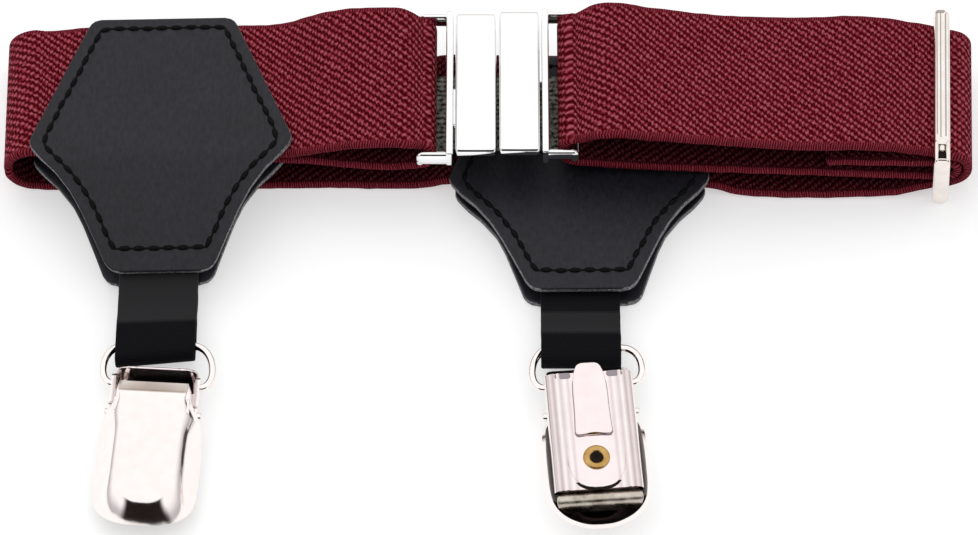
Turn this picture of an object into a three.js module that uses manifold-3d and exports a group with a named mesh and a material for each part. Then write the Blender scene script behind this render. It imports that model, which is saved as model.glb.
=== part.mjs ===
// Sock suspender: an elastic strap in a flattened loop, lying on a surface, with a hook clasp, a slide, and
// two leather patches that each carry a ribbon, a wire ring and a clip. Millimetres, +Z up, +X along the
// loop. The left clip lies with its front up and the right clip with its back up.
import * as THREE from 'three';
import { mergeVertices } from 'three/addons/utils/BufferGeometryUtils.js';
import Module from 'manifold-3d';

const wasm = await Module();
wasm.setup();

// Driving dimensions
const GAP = 0.3;                // air between pieces that touch
const STRAP_W = 25;             // one inch elastic
const STRAP_T = 1.4;
const LEATHER_T = 1.3;
const RIBBON_W = 12.5;          // half inch ribbon
const RIBBON_T = 0.8;
const WIRE_R = 0.6;             // ring wire
const PLATE_T = 0.7;            // sheet metal of the clips
const CLIP_H = 7.5;             // clip, back plate to top of cover
const ORIGIN = new THREE.Vector3(-0.4, 17.2, 0);   // moves the middle of the footprint to the origin

// Finishes
const FINISH = {
  elastic: { color: 0x6b2430, roughness: 0.9, metalness: 0 },
  leather: { color: 0x303035, roughness: 0.5, metalness: 0 },
  ribbon: { color: 0x1d1d20, roughness: 0.7, metalness: 0 },
  nickel: { color: 0xe6e0da, roughness: 0.2, metalness: 1 },
  chrome: { color: 0xf2f4f5, roughness: 0.1, metalness: 1 },
  brass: { color: 0xb68f58, roughness: 0.35, metalness: 1 },
};

const garter = new THREE.Group();
garter.position.copy(ORIGIN);

function addPiece(parent, name, geometry, finish) {
  const mesh = new THREE.Mesh(geometry, new THREE.MeshStandardMaterial(FINISH[finish]));
  mesh.name = name;
  parent.add(mesh);
  return mesh;
}

// Closed body from sections: every section is a list of points round the body, all the same length.
function loft(sections) {
  const count = sections[0].length;
  const position = sections.flat().flatMap((p) => [p.x, p.y, p.z]);
  const index = [];
  for (let s = 0; s + 1 < sections.length; s += 1) {
    for (let i = 0; i < count; i += 1) {
      const a = s * count + i;
      const b = s * count + (i + 1) % count;
      index.push(a, b, b + count, a, b + count, a + count);
    }
  }
  const last = (sections.length - 1) * count;
  for (let i = 1; i + 1 < count; i += 1) {
    index.push(0, i + 1, i);
    index.push(last, last + i, last + i + 1);
  }
  const geometry = new THREE.BufferGeometry();
  geometry.setAttribute('position', new THREE.Float32BufferAttribute(position, 3));
  geometry.setIndex(index);
  return facingOut(geometry);
}

// Turns the faces over when the enclosed volume comes out negative.
function facingOut(geometry) {
  const p = geometry.getAttribute('position');
  const index = Array.from(geometry.index.array);
  const [a, b, c] = [new THREE.Vector3(), new THREE.Vector3(), new THREE.Vector3()];
  let volume = 0;
  for (let i = 0; i < index.length; i += 3) {
    a.fromBufferAttribute(p, index[i]);
    b.fromBufferAttribute(p, index[i + 1]);
    c.fromBufferAttribute(p, index[i + 2]);
    volume += a.dot(b.cross(c));
  }
  if (volume < 0) {
    for (let i = 0; i < index.length; i += 3) {
      [index[i + 1], index[i + 2]] = [index[i + 2], index[i + 1]];
    }
    geometry.setIndex(index);
  }
  return geometry;
}

// Joins and cuts
function solid(geometry) {
  const bare = geometry.clone();
  bare.deleteAttribute('normal');
  bare.deleteAttribute('uv');
  const merged = mergeVertices(bare, 1e-4);
  const mesh = new wasm.Mesh({
    numProp: 3,
    vertProperties: new Float32Array(merged.getAttribute('position').array),
    triVerts: new Uint32Array(merged.index.array),
  });
  return new wasm.Manifold(mesh);
}

function geometryOf(manifold) {
  const mesh = manifold.getMesh();
  const geometry = new THREE.BufferGeometry();
  geometry.setAttribute('position', new THREE.BufferAttribute(new Float32Array(mesh.vertProperties), 3));
  geometry.setIndex(new THREE.BufferAttribute(new Uint32Array(mesh.triVerts), 1));
  return geometry;
}

function join(...geometries) {
  return geometryOf(geometries.map(solid).reduce((whole, part) => whole.add(part)));
}

function cut(geometry, ...tools) {
  return geometryOf(tools.map(solid).reduce((whole, tool) => whole.subtract(tool), solid(geometry)));
}

function block(low, high) {
  const size = high.map((h, i) => h - low[i]);
  return new THREE.BoxGeometry(...size).translate(...low.map((l, i) => l + size[i] / 2));
}

// Round bar along X from x0 to x1 at (y, z)
function barX(x0, x1, y, z, radius, sides) {
  const bar = new THREE.CylinderGeometry(radius, radius, x1 - x0, sides).rotateZ(Math.PI / 2);
  return bar.translate((x0 + x1) / 2, y, z);
}

// Shape that runs counter-clockwise, so that its round holes can run clockwise
function shapeOf(points) {
  const outline = points.map(([x, y]) => new THREE.Vector2(x, y));
  return new THREE.Shape(THREE.ShapeUtils.isClockWise(outline) ? outline.reverse() : outline);
}

// Flat plate from an outline in X and Y, between two heights
function plate(outline, z0, z1) {
  const extruded = new THREE.ExtrudeGeometry(shapeOf(outline), { depth: z1 - z0, bevelEnabled: false });
  return extruded.translate(0, 0, z0);
}

// Linear reading of a column of a table whose first column is the running value
function reading(table, key, at, value) {
  let k = 0;
  while (k + 2 < table.length && table[k + 1][at] < value) {
    k += 1;
  }
  const share = THREE.MathUtils.clamp((value - table[k][at]) / (table[k + 1][at] - table[k][at]), 0, 1);
  return THREE.MathUtils.lerp(table[k][key], table[k + 1][key], share);
}

// Elastic strap
const CLASP_Z = { left: 10.1, right: 11.4 };            // middle height of the two strap bars of the clasp
const SLIDE = {
  x0: 70.9, x1: 73.5, y0: -1.9, y1: 27.8, z1: 12.9,
  bar: 1.5,                     // height of its long bars
  end: 1.4,                     // length of its short ends
  middle: 6.45,                 // height of its middle bar
  turn: -3.2,                   // degrees about Z
};
// Centres and radii of the strap's middle: left fold, right fold, and round the bars of the slide and clasp
const FOLD_L = { x: -71.9, z: 5.2, rx: 4.5, rz: 4.5 };
const FOLD_R = { x: 72.6, z: SLIDE.middle, rx: 4.0, rz: 3.95 };
const WRAP_S = { x: 73.2, z: SLIDE.middle, rx: 1.75, rz: 1.85 };
const WRAP_L = { x: -11.0, z: CLASP_Z.left, rx: 1.9, rz: 2.7 };
const WRAP_R = { x: 13.6, z: CLASP_Z.right, rx: 1.9, rz: 3.1 };
const FLOOR_Z = STRAP_T / 2 + 0.01;     // strap's middle where it lies on the floor
const PATCH_A_STRAP_Z = 9.7;    // strap's middle between the left leathers, upper layer
const PATCH_A_END_Z = 7.9;      // and its sewn end below that
const PATCH_B_STRAP_Z = LEATHER_T + GAP + STRAP_T / 2;

// Rows on an elliptic arc, from one angle to another in degrees
function arcRows(arc, from, to, steps, lift, y, skew = 0) {
  const rows = [];
  for (let i = 0; i <= steps; i += 1) {
    const angle = THREE.MathUtils.degToRad(THREE.MathUtils.lerp(from, to, i / steps));
    rows.push({ x: arc.x + arc.rx * Math.cos(angle), z: arc.z + arc.rz * Math.sin(angle), lift, y, skew });
  }
  return rows;
}

// A row is a place along the strap: x, z of its middle at the near edge, lift of the far edge over the near
// one, y of the near edge, and skew, how far the far edge is ahead in x.
const STRAP_ROWS = [
  { x: -66, z: PATCH_A_END_Z, lift: 0, y: 1.1 },          // sewn end, under the left patch's front leather
  { x: -31, z: PATCH_A_END_Z, lift: 0, y: 1.1 },
  { x: -26, z: 7.2, lift: 0, y: 1.1 },
  { x: -22, z: 6.7, lift: 0, y: 1.0 },
  { x: -17, z: 6.4, lift: 0.3, y: 0.8 },
  { x: -13.4, z: 6.9, lift: 0.3, y: 0.6 },
  ...arcRows(WRAP_L, -90, 90, 8, 0.2, 0.5),
  { x: -14, z: 13.0, lift: 2.0, y: 0.6 },
  { x: -20, z: 12.7, lift: 2.8, y: 0.7 },
  { x: -25.5, z: 11.4, lift: 2.3, y: 0.9 },
  { x: -29, z: 10.2, lift: 1.6, y: 1.0 },
  { x: -32, z: 9.65, lift: 0.8, y: 1.0 },
  { x: -36, z: PATCH_A_STRAP_Z, lift: 0.2, y: 1.1 },
  { x: -54, z: PATCH_A_STRAP_Z, lift: 0, y: 1.2 },
  { x: -66, z: PATCH_A_STRAP_Z, lift: -0.2, y: 1.2, skew: -0.3 },
  { x: -70.6, z: PATCH_A_STRAP_Z, lift: -0.8, y: 1.2, skew: -0.7 },
  ...arcRows(FOLD_L, 90, 180, 7, -0.8, 1.3, -0.8),
  ...arcRows(FOLD_L, 192, 270, 6, 0, 0.8, -0.8),
  { x: -70.6, z: FLOOR_Z, lift: 0, y: 0.7, skew: -0.7 },
  { x: -60, z: FLOOR_Z, lift: 0, y: 0.7 },
  { x: -30, z: FLOOR_Z, lift: 0, y: 1.0 },
  { x: -22, z: FLOOR_Z, lift: 0, y: 1.0 },
  { x: -18, z: FLOOR_Z, lift: 0, y: 0.9 },
  { x: -14, z: FLOOR_Z + 0.05, lift: 0, y: 0.9 },
  { x: -10, z: 1.2, lift: 0, y: 0.8 },
  { x: -7.2, z: 2.2, lift: 0, y: 0.8 },
  { x: -3, z: PATCH_B_STRAP_Z, lift: 0, y: 0.7 },
  { x: 14, z: PATCH_B_STRAP_Z, lift: 0, y: 0.5 },
  { x: 32, z: PATCH_B_STRAP_Z, lift: 0, y: 0.4 },
  { x: 36.2, z: 2.2, lift: 0, y: 0.3 },
  { x: 39, z: 1.2, lift: 0, y: 0.1 },
  { x: 43, z: FLOOR_Z + 0.06, lift: 0, y: -0.1 },
  { x: 47, z: FLOOR_Z + 0.04, lift: 0, y: -0.2 },
  { x: 53, z: FLOOR_Z + 0.09, lift: 0, y: -0.3 },
  { x: 59, z: 1.0, lift: 0, y: -0.2 },
  { x: 68, z: 2.5, lift: 0, y: 0, skew: 1.2 },
  ...arcRows(FOLD_R, -90, 90, 14, 0, 0.15, 1.4),
  { x: 68.4, z: 10.45, lift: -0.1, y: 0.2, skew: 1.2 },
  { x: 60, z: 12.0, lift: -1.2, y: 0.3 },
  { x: 50, z: 12.9, lift: -2.0, y: 0.1 },
  { x: 37, z: 14.6, lift: -2.4, y: 0 },
  { x: 27, z: 15.8, lift: -1.6, y: 0 },
  { x: 18.5, z: 16.2, lift: -0.8, y: 0.3 },
  ...arcRows(WRAP_R, 75, 270, 9, -0.1, 0.5),
  { x: 17, z: 7.8, lift: -0.2, y: 0.5 },
  { x: 26, z: 7.0, lift: -0.2, y: 0.4 },
  { x: 40, z: 6.3, lift: -0.2, y: 0.3 },
  { x: 56, z: 5.5, lift: 0, y: 0.2 },
  { x: 66, z: 4.85, lift: 0, y: 0.2, skew: 1.2 },
  ...arcRows(WRAP_S, -90, 90, 8, 0, 0.15, 1.4),
  { x: 66, z: 8.3, lift: 0, y: 0.3, skew: 1.2 },
  { x: 53.8, z: 8.5, lift: 0, y: 0.4, skew: 1.0 },        // free tail
];

// Strip of cloth: its rows' curve through (x, z), a thickness across that curve, and a width along Y.
function strip(rows, width, thickness, steps) {
  const places = rows.map((r) => new THREE.Vector3(r.x, r.z, 0));
  const curve = new THREE.CatmullRomCurve3(places, false, 'centripetal');
  const edges = rows.map((r) => new THREE.Vector3(r.lift, r.y, r.skew ?? 0));
  const edge = new THREE.CatmullRomCurve3(edges, false, 'centripetal');
  const sections = [];
  for (let i = 0; i <= steps; i += 1) {
    const at = curve.getUtoTmapping(i / steps);
    const middle = curve.getPoint(at);
    const tangent = curve.getTangent(at);
    const { x: lift, y: near, z: skew } = edge.getPoint(at);
    const far = near + Math.sqrt(width * width - lift * lift);
    const [dx, dz] = [-tangent.y * thickness / 2, tangent.x * thickness / 2];
    sections.push([
      new THREE.Vector3(middle.x + dx, near, middle.y + dz),
      new THREE.Vector3(middle.x - dx, near, middle.y - dz),
      new THREE.Vector3(middle.x - dx + skew, far, middle.y - dz + lift),
      new THREE.Vector3(middle.x + dx + skew, far, middle.y + dz + lift),
    ]);
  }
  return loft(sections);
}

addPiece(garter, 'elastic_strap', strip(STRAP_ROWS, STRAP_W, STRAP_T, 300), 'elastic');

// Leather patches. v runs up the patch from the row of its side corners; half is half its width there.
const PATCH_OUTLINE = [
  { v: -21.3, half: 6.4 },
  { v: -20.9, half: 7.8 },
  { v: -19.8, half: 8.8 },
  { v: -16.3, half: 10.4 },
  { v: -11.6, half: 12.6 },
  { v: -8.4, half: 14.4 },
  { v: -5.4, half: 16.7 },
  { v: -3.3, half: 18.9 },
  { v: -1.3, half: 20.5 },
  { v: -0.2, half: 20.9 },
  { v: 0.9, half: 20.6 },
  { v: 22.2, half: 11.9 },
  { v: 23.0, half: 11.3 },
  { v: 23.4, half: 10.2 },
];
// What lies under each leather: underside heights over the strap and at the lower edge, and where they change
const PATCH_A = {
  x: -52.3, y: 3.0, turn: 2.4, bend: -3.2,
  front: 10.75, frontLow: 4.95, back: 5.6, backLow: 1.1, backWider: -0.3,
};
const PATCH_B = {
  x: 14.5, y: 0.5, turn: 0.6, bend: -1.6,
  front: 3.7, frontLow: 3.7, back: 0, backLow: 0, backWider: 0.1,
};
const LEATHER_STEP = 1.5;       // longest facet along a leather
const SAG = 0.25;               // share of the lower part's fall that is curved

// One leather: high and low are its underside heights, wider is added to its half width.
function leather(patch, high, low, wider) {
  const foot = PATCH_OUTLINE[0].v;
  const places = PATCH_OUTLINE.slice(1).flatMap(({ v }, k) => {
    const start = PATCH_OUTLINE[k].v;
    const parts = Math.max(1, Math.round((v - start) / LEATHER_STEP));
    return Array.from({ length: parts }, (_, i) => THREE.MathUtils.lerp(start, v, (i + 1) / parts));
  });
  const sections = [foot, ...places].map((v) => {
    const half = reading(PATCH_OUTLINE, 'half', 'v', v) + wider;
    const down = THREE.MathUtils.clamp((patch.bend - v) / (patch.bend - foot), 0, 1);
    const z = high + (low - high) * (SAG * down * down + (1 - SAG) * down);
    return [
      new THREE.Vector3(-half, v, z),
      new THREE.Vector3(half, v, z),
      new THREE.Vector3(half, v, z + LEATHER_T),
      new THREE.Vector3(-half, v, z + LEATHER_T),
    ];
  });
  return loft(sections).rotateZ(THREE.MathUtils.degToRad(patch.turn)).translate(patch.x, patch.y, 0);
}

for (const [name, patch] of [['patch_a', PATCH_A], ['patch_b', PATCH_B]]) {
  addPiece(garter, `${name}_front`, leather(patch, patch.front, patch.frontLow, 0), 'leather');
  addPiece(garter, `${name}_back`, leather(patch, patch.back, patch.backLow, patch.backWider), 'leather');
}

// Ring, ribbon and clip of each side. The clip's frame has its origin on the ring's ends at the height of the
// clip's lowest face, -Y towards the clip's nose and +Z towards its cover. face is +1 with the cover up.
const UPWARD = new THREE.Vector3(0, 0, 1);
const RING_Z = 3.4;             // ring's ends over the clip's lowest face
const RING_REACH = 7.2;         // from the ring's ends to its straight bar
// Place of the ring's ends, the clip's turn in degrees, height of the ring's bar, and place of the ribbon
const SIDE_A = { x: -52.1, y: -37.6, turn: -3.4, face: 1, barZ: 3.3, ribbonX: -52.4 };
const SIDE_B = { x: 15.4, y: -38.0, turn: 4.2, face: -1, barZ: 3.4, ribbonX: 14.4 };
// Height of the middle of each ribbon's lower layer, from inside its patch towards the ring
const RIBBON_A = [{ y: -11, z: 5.5 }, { y: -15, z: 4.3 }, { y: -18.5, z: 3.2 }, { y: -21.5, z: 2.7 }];
const RIBBON_B = [{ y: -13, z: 2.0 }, { y: -17, z: 2.0 }, { y: -21.5, z: 2.0 }];

// Half of the ring in its own plane: out across the clip, and up towards the ribbon
const RING_HALF = [
  { out: 6.35, up: 0 },
  { out: 7.3, up: 0.05 },
  { out: 8.05, up: 0.7 },
  { out: 8.5, up: 1.9 },
  { out: 8.55, up: 3.4 },
  { out: 8.15, up: 5.1 },
  { out: 7.3, up: 6.4 },
  { out: 6.3, up: 7.05 },
  { out: 5.2, up: RING_REACH },
  { out: 2.6, up: RING_REACH },
];

function ring(side, endZ) {
  const rise = side.barZ - endZ;
  const flat = Math.sqrt(RING_REACH * RING_REACH - rise * rise) / RING_REACH;
  const point = ({ out, up }, sign) => {
    const turn = THREE.MathUtils.degToRad(side.turn) * (1 - up / RING_REACH);
    return new THREE.Vector3(sign * out, up * flat, endZ + rise * up / RING_REACH)
      .applyAxisAngle(UPWARD, turn);
  };
  const left = RING_HALF.map((row) => point(row, -1));
  const right = RING_HALF.map((row) => point(row, 1)).reverse();
  const path = new THREE.CatmullRomCurve3([...left, ...right], false, 'centripetal');
  const section = new THREE.Shape();
  section.absarc(0, 0, WIRE_R, 0, 2 * Math.PI, false);
  const options = { extrudePath: path, steps: 56, curveSegments: 4, bevelEnabled: false };
  return new THREE.ExtrudeGeometry(section, options);
}

// Ribbon's fold: air between its layers, how far it goes past the ring's bar, and where it narrows again
const RIBBON_FOLD = { apart: 0.2, past: 1.3, taper: 4, open: 0.85 };

// Ribbon: from between the leathers round the ring's bar and back, as a strip along -Y
function ribbon(side, lower, barY) {
  const near = -RIBBON_W / 2;
  const inside = RIBBON_T / 2 + WIRE_R + GAP;
  const apart = RIBBON_T + RIBBON_FOLD.apart;
  const level = (y, z) => ({ x: -y, z, lift: 0, y: near });
  const fold = { x: RIBBON_FOLD.past - barY, z: side.barZ, rx: inside, rz: inside };
  const open = inside * RIBBON_FOLD.open;
  const rows = [
    ...lower.map(({ y, z }) => level(y, z + apart)),
    level(RIBBON_FOLD.taper - fold.x, side.barZ + open),
    ...arcRows(fold, 90, -90, 8, 0, near),
    level(RIBBON_FOLD.taper - fold.x, side.barZ - open),
    ...lower.slice().reverse().map(({ y, z }) => level(y, z)),
  ];
  return strip(rows, RIBBON_W, RIBBON_T, 72).rotateZ(-Math.PI / 2);
}

// Clip. v runs from the ring's ends to the nose, w from the lowest face to the cover's top.
const CLIP = {
  half: 6.9,                    // half width of the back plate
  face: 0.65,                   // back plate's outer face
  start: 0.3,                   // back plate from here
  long: 19.7,                   // to here
  lobe: { v: 19.95, half: 3.9, tip: 2.9 },      // its round lobe
  ear: 1.6,                     // radius of the ears of its sides
  pivot: { v: 5.2, w: 3.4 },
  pinR: 0.65,
  pinEnd: 0.75,                 // pin's nub past the side
  eyelet: 14.5,                 // eyelet's place
  rib: { out: 1.5, in: 2.0, from: 2.5, short: 0.6, proud: 0.25 },
};
// Half outline of the tongue on the back plate
const TONGUE = [
  { v: -2.2, half: 1.7 },
  { v: -0.7, half: 2.3 },
  { v: 1.5, half: 2.6 },
  { v: 10.4, half: 2.6 },
  { v: 10.3, half: 1.5 },
  { v: 10.05, half: 0.4 },
];
const TONGUE_FACE = 0.1;        // its outer face
// End plate that slopes up from the back plate towards the ribbon
const RAMP = [
  { v: 0.4, w: 0.65 },
  { v: 0.4, w: 1.35 },
  { v: -2.75, w: 3.9 },
  { v: -3.2, w: 3.9 },
  { v: -3.4, w: 3.5 },
  { v: -0.4, w: 0.65 },
];
const EYELET = { hole: 1.1, barrel: 1.45, rim: 2.15, innerRim: 1.95, rimT: 0.35, round: 0.1 };
const JAW = { top: 8, half: 5.7, lipHalf: 5.75 };
const JAW_W = CLIP.face + PLATE_T + GAP;        // outer face of the inner jaw plate
// Curled lip of the jaw: past the back plate's end, and up from the jaw plate's outer face
const JAW_LIP = [
  { past: 0.35, up: 0 },
  { past: 0.8, up: -0.45 },
  { past: 1.2, up: -0.3 },
  { past: 1.6, up: 0.7 },
  { past: 1.6, up: 2.55 },
  { past: 1.0, up: 2.55 },
  { past: 1.0, up: 1.3 },
  { past: 0.7, up: 0.7 },
  { past: 0.35, up: 0.7 },
];
const COVER_EAR = { radius: 1.3, top: 6.6 };
const INNER = CLIP.half - PLATE_T;      // inside of the clip's sides

// The clip is drawn with X across it, Y = -v and Z = w. This turns an extrusion of (-v, w) along X.
const ACROSS = new THREE.Matrix4().set(0, 0, 1, 0, 1, 0, 0, 0, 0, 1, 0, 0, 0, 0, 0, 1);

// Wall across the clip from u0 to u1, from an outline in (v, w), with round holes
function sideWall(outline, u0, u1, holes = []) {
  const shape = shapeOf(outline.map(([v, w]) => [-v, w]));
  for (const { v, w, radius } of holes) {
    const hole = new THREE.Path();
    hole.absarc(-v, w, radius, 0, 2 * Math.PI, true);
    shape.holes.push(hole);
  }
  const wall = new THREE.ExtrudeGeometry(shape, { depth: u1 - u0, bevelEnabled: false, curveSegments: 6 });
  return wall.translate(0, 0, u0).applyMatrix4(ACROSS);
}

// Points on an arc in (v, w), angles in degrees from +v towards +w
function arcPoints(centre, radius, from, to, steps) {
  const points = [];
  for (let i = 0; i <= steps; i += 1) {
    const angle = THREE.MathUtils.degToRad(THREE.MathUtils.lerp(from, to, i / steps));
    points.push([centre.v + radius * Math.cos(angle), centre.w + radius * Math.sin(angle)]);
  }
  return points;
}

// Both sides of something drawn for +u
function mirrored(geometry) {
  const twin = geometry.clone().applyMatrix4(new THREE.Matrix4().makeScale(-1, 1, 1));
  const bare = mergeVertices(twin.deleteAttribute('uv').deleteAttribute('normal'), 1e-4);
  return facingOut(bare);
}

// Both sides of a half outline in (half, -v)
function wholeOutline(rows) {
  const right = rows.map(({ v, half }) => [half, -v]);
  return [...right, ...right.slice().reverse().map(([x, y]) => [-x, y])];
}

// Cutter for a round hole through the clip's plates
function bore(v, radius) {
  return new THREE.CylinderGeometry(radius, radius, 2 * CLIP_H, 16).rotateX(Math.PI / 2).translate(0, -v, 0);
}

function clipBody() {
  const { half, face, start, long, lobe, ear, pivot, pinR, eyelet, rib } = CLIP;
  const inside = face + PLATE_T;
  const lip = inside + 0.5;                     // low side walls beside the jaw
  const backPlate = wholeOutline([
    { v: start, half }, { v: long, half }, { v: long, half: lobe.half }, { v: lobe.v, half: lobe.tip },
  ]);
  const ringHole = { v: 0, w: RING_Z, radius: WIRE_R + GAP };
  const pinHole = { ...pivot, radius: pinR + GAP };
  const sideOutline = [
    [long, face], [long, lip], [pivot.v + 1.5 * ear, lip],
    ...arcPoints(pivot, ear, 0, 150, 5),
    ...arcPoints({ v: 0, w: RING_Z }, ear, 40, 180, 5),
    [-ear, inside + 0.5], [-start, face],
  ];
  const wall = sideWall(sideOutline, INNER, half, [ringHole, pinHole]);
  const ridge = block(
    [half - rib.in, rib.short - long, face - rib.proud],
    [half - rib.out, -rib.from, face + 0.1],
  );
  const whole = join(
    plate(backPlate, face, inside),
    wall, mirrored(wall),
    ridge, mirrored(ridge),
    sideWall(RAMP.map(({ v, w }) => [v, w]), -INNER - 0.05, INNER + 0.05),
    plate(wholeOutline(TONGUE), TONGUE_FACE, face + 0.1),
  );
  return cut(whole, bore(eyelet, EYELET.barrel + GAP));
}

// Eyelet that rivets the jaw plate to the back plate
function clipEyelet() {
  const { hole, barrel, rim, innerRim, rimT, round } = EYELET;
  const top = JAW_W + PLATE_T + GAP;
  const profile = [
    [hole, round], [hole + round, 0], [rim - round, 0], [rim, round],
    [rim, rimT - round], [rim - round, rimT], [barrel, rimT], [barrel, top],
    [innerRim, top], [innerRim, top + rimT], [hole, top + rimT], [hole, round],
  ];
  const turned = new THREE.LatheGeometry(profile.map(([r, w]) => new THREE.Vector2(r, w)), 16);
  const bare = mergeVertices(turned.deleteAttribute('uv').deleteAttribute('normal'), 1e-4);
  return facingOut(bare.rotateX(Math.PI / 2).translate(0, -CLIP.eyelet, 0));
}

// Inner jaw plate with its curled lip past the back plate's end
function clipJaw() {
  const { top, half, lipHalf } = JAW;
  const flat = block([-half, -CLIP.long - 0.6, JAW_W], [half, -top, JAW_W + PLATE_T]);
  const lip = sideWall(JAW_LIP.map(({ past, up }) => [CLIP.long + past, JAW_W + up]), -lipHalf, lipHalf);
  return cut(join(flat, lip), bore(CLIP.eyelet, EYELET.barrel + GAP));
}

// Domed lever cover: half width, rim height, top height and half width of its flat panel at each v
const COVER_ROWS = [
  { v: 0.9, half: 5.5, rim: 5.6, top: 6.3, panel: 4.4 },
  { v: 1.7, half: 5.85, rim: 5.6, top: 7.0, panel: 4.5 },
  { v: 3.0, half: 5.9, rim: 5.5, top: 7.4, panel: 4.7 },
  { v: 4.4, half: 5.9, rim: 5.4, top: CLIP_H, panel: 4.8 },
  { v: 5.4, half: 6.9, rim: 5.35, top: CLIP_H, panel: 4.9 },
  { v: 6.6, half: 7.7, rim: 5.2, top: CLIP_H, panel: 5.0 },
  { v: 8.0, half: 7.95, rim: 3.6, top: CLIP_H, panel: 5.1 },
  { v: 9.6, half: 8.0, rim: 2.4, top: CLIP_H, panel: 5.1 },
  { v: 13.0, half: 8.1, rim: 2.3, top: CLIP_H, panel: 5.1 },
  { v: 16.5, half: 8.1, rim: 2.3, top: CLIP_H, panel: 5.0 },
  { v: 19.0, half: 8.0, rim: 2.3, top: CLIP_H, panel: 4.6 },
  { v: 20.6, half: 7.7, rim: 2.3, top: CLIP_H, panel: 4.0 },
  { v: 21.8, half: 7.1, rim: 2.3, top: 7.4, panel: 3.4 },
  { v: 22.8, half: 5.9, rim: 2.3, top: 7.1, panel: 2.8 },
  { v: 23.5, half: 4.5, rim: 2.35, top: 6.6, panel: 2.0 },
  { v: 24.0, half: 2.8, rim: 2.4, top: 5.8, panel: 1.1 },
];
const COVER_T = 0.6;
const COVER_SHOULDER = 5;       // facets of each shoulder
const NOSE_FROM = 19;           // the nose rounds off from here

// Dome between the rim and the top. inset makes it smaller all round, and rimDrop carries its underside
// lower. Its shoulders are superellipses with these powers.
const SHOULDER_POWERS = { out: 0.8, up: 0.9 };

function dome(inset, rimDrop) {
  const hollow = inset > 0;
  const first = COVER_ROWS[0].v;
  const last = COVER_ROWS[COVER_ROWS.length - 1].v - inset;
  const inner = COVER_ROWS.map((row) => row.v).filter((v) => v > first && v < last - 0.2);
  const along = hollow ? [first - 1, first, ...inner, last] : [first, ...inner, last];
  const sections = along.map((v) => {
    const ahead = inset * THREE.MathUtils.smoothstep(v, NOSE_FROM, last);
    const read = (key) => reading(COVER_ROWS, key, 'v', v + ahead);
    const half = read('half') - inset;
    const top = read('top') - inset;
    const rim = Math.min(read('rim'), top - 0.3);
    const panel = Math.min(read('panel'), half - 0.3);
    const side = [];
    for (let i = 0; i <= COVER_SHOULDER; i += 1) {
      const angle = (Math.PI / 2) * (i / COVER_SHOULDER);
      const out = Math.cos(angle) ** SHOULDER_POWERS.out;
      const up = Math.sin(angle) ** SHOULDER_POWERS.up;
      side.push([panel + (half - panel) * out, rim + (top - rim) * up]);
    }
    if (hollow) {
      side.unshift([half, rim - rimDrop]);
    }
    const outline = [...side, ...side.slice().reverse().map(([u, w]) => [-u, w])];
    return outline.map(([u, w]) => new THREE.Vector3(u, -v, w));
  });
  return loft(sections);
}

function clipCover() {
  const { pivot, pinR, half, pinEnd } = CLIP;
  const { radius, top } = COVER_EAR;
  const shell = cut(dome(0, 0), dome(COVER_T, 2));
  const outer = INNER - GAP;
  const corners = [[pivot.v + radius, top], [pivot.v - radius, top]];
  const outline = [...arcPoints(pivot, radius, 180, 360, 6), ...corners];
  const ear = sideWall(outline, outer - COVER_T, outer);
  const pin = barX(outer - COVER_T / 2, half + pinEnd, -pivot.v, pivot.w, pinR, 12);
  return join(shell, ear, mirrored(ear), pin, mirrored(pin));
}

const clipParts = { body: clipBody(), jaw: clipJaw(), cover: clipCover(), eyelet: clipEyelet() };

for (const [side, mark] of [[SIDE_A, 'a'], [SIDE_B, 'b']]) {
  const upright = side.face > 0;
  const endZ = upright ? RING_Z : CLIP_H - RING_Z;
  const barY = side.y + Math.sqrt(RING_REACH ** 2 - (side.barZ - endZ) ** 2);

  const cloth = new THREE.Group();
  cloth.position.set(side.ribbonX, 0, 0);
  garter.add(cloth);
  addPiece(cloth, `ribbon_${mark}`, ribbon(side, upright ? RIBBON_A : RIBBON_B, barY), 'ribbon');

  const metal = new THREE.Group();
  metal.position.set(side.x, side.y, 0);
  garter.add(metal);
  addPiece(metal, `ring_${mark}`, ring(side, endZ), 'nickel');

  const clip = new THREE.Group();
  clip.rotation.set(0, upright ? 0 : Math.PI, THREE.MathUtils.degToRad(side.turn), 'ZYX');
  clip.position.z = upright ? 0 : CLIP_H;
  metal.add(clip);
  addPiece(clip, `clip_${mark}_body`, clipParts.body, 'nickel');
  addPiece(clip, `clip_${mark}_jaw`, clipParts.jaw, 'nickel');
  addPiece(clip, `clip_${mark}_cover`, clipParts.cover, 'nickel');
  addPiece(clip, `clip_${mark}_eyelet`, clipParts.eyelet, 'brass');
}

// Hook clasp. Each half is a frame with a strap bar, a bright inner bar, a hook arm and a cover plate.
const CLASP = {
  y0: -1.0, y1: 27.0,           // outside of the frames' short ends
  plateY0: -0.5, plateY1: 26.3,
  endT: 1.2,
  plateT: 2.2,
  strapBar: 1.25,
  innerRise: 0.6,               // inner bar over the short ends
  arm: { inset: 0.6, low: 0.8, high: 2.2, root: 0.3, tip: 0.2 },
};
// Places along X, from the strap bar's far face to the end of the cover plate, and heights
const CLASP_HALVES = {
  clasp_left: {
    far: -11.6, near: -5.7, bar: 1.2, plateFrom: -5.15, plateTo: 1.2,
    low: 9.9, high: 12.9, barLow: 9.1, barHigh: 11.1, plateTop: 14.0,
  },
  clasp_right: {
    far: 14.3, near: 8.45, bar: 1.15, plateFrom: 7.9, plateTo: 1.55,
    low: 10.6, high: 13.6, barLow: 10.1, barHigh: 12.7, plateTop: 14.6,
  },
};

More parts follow.
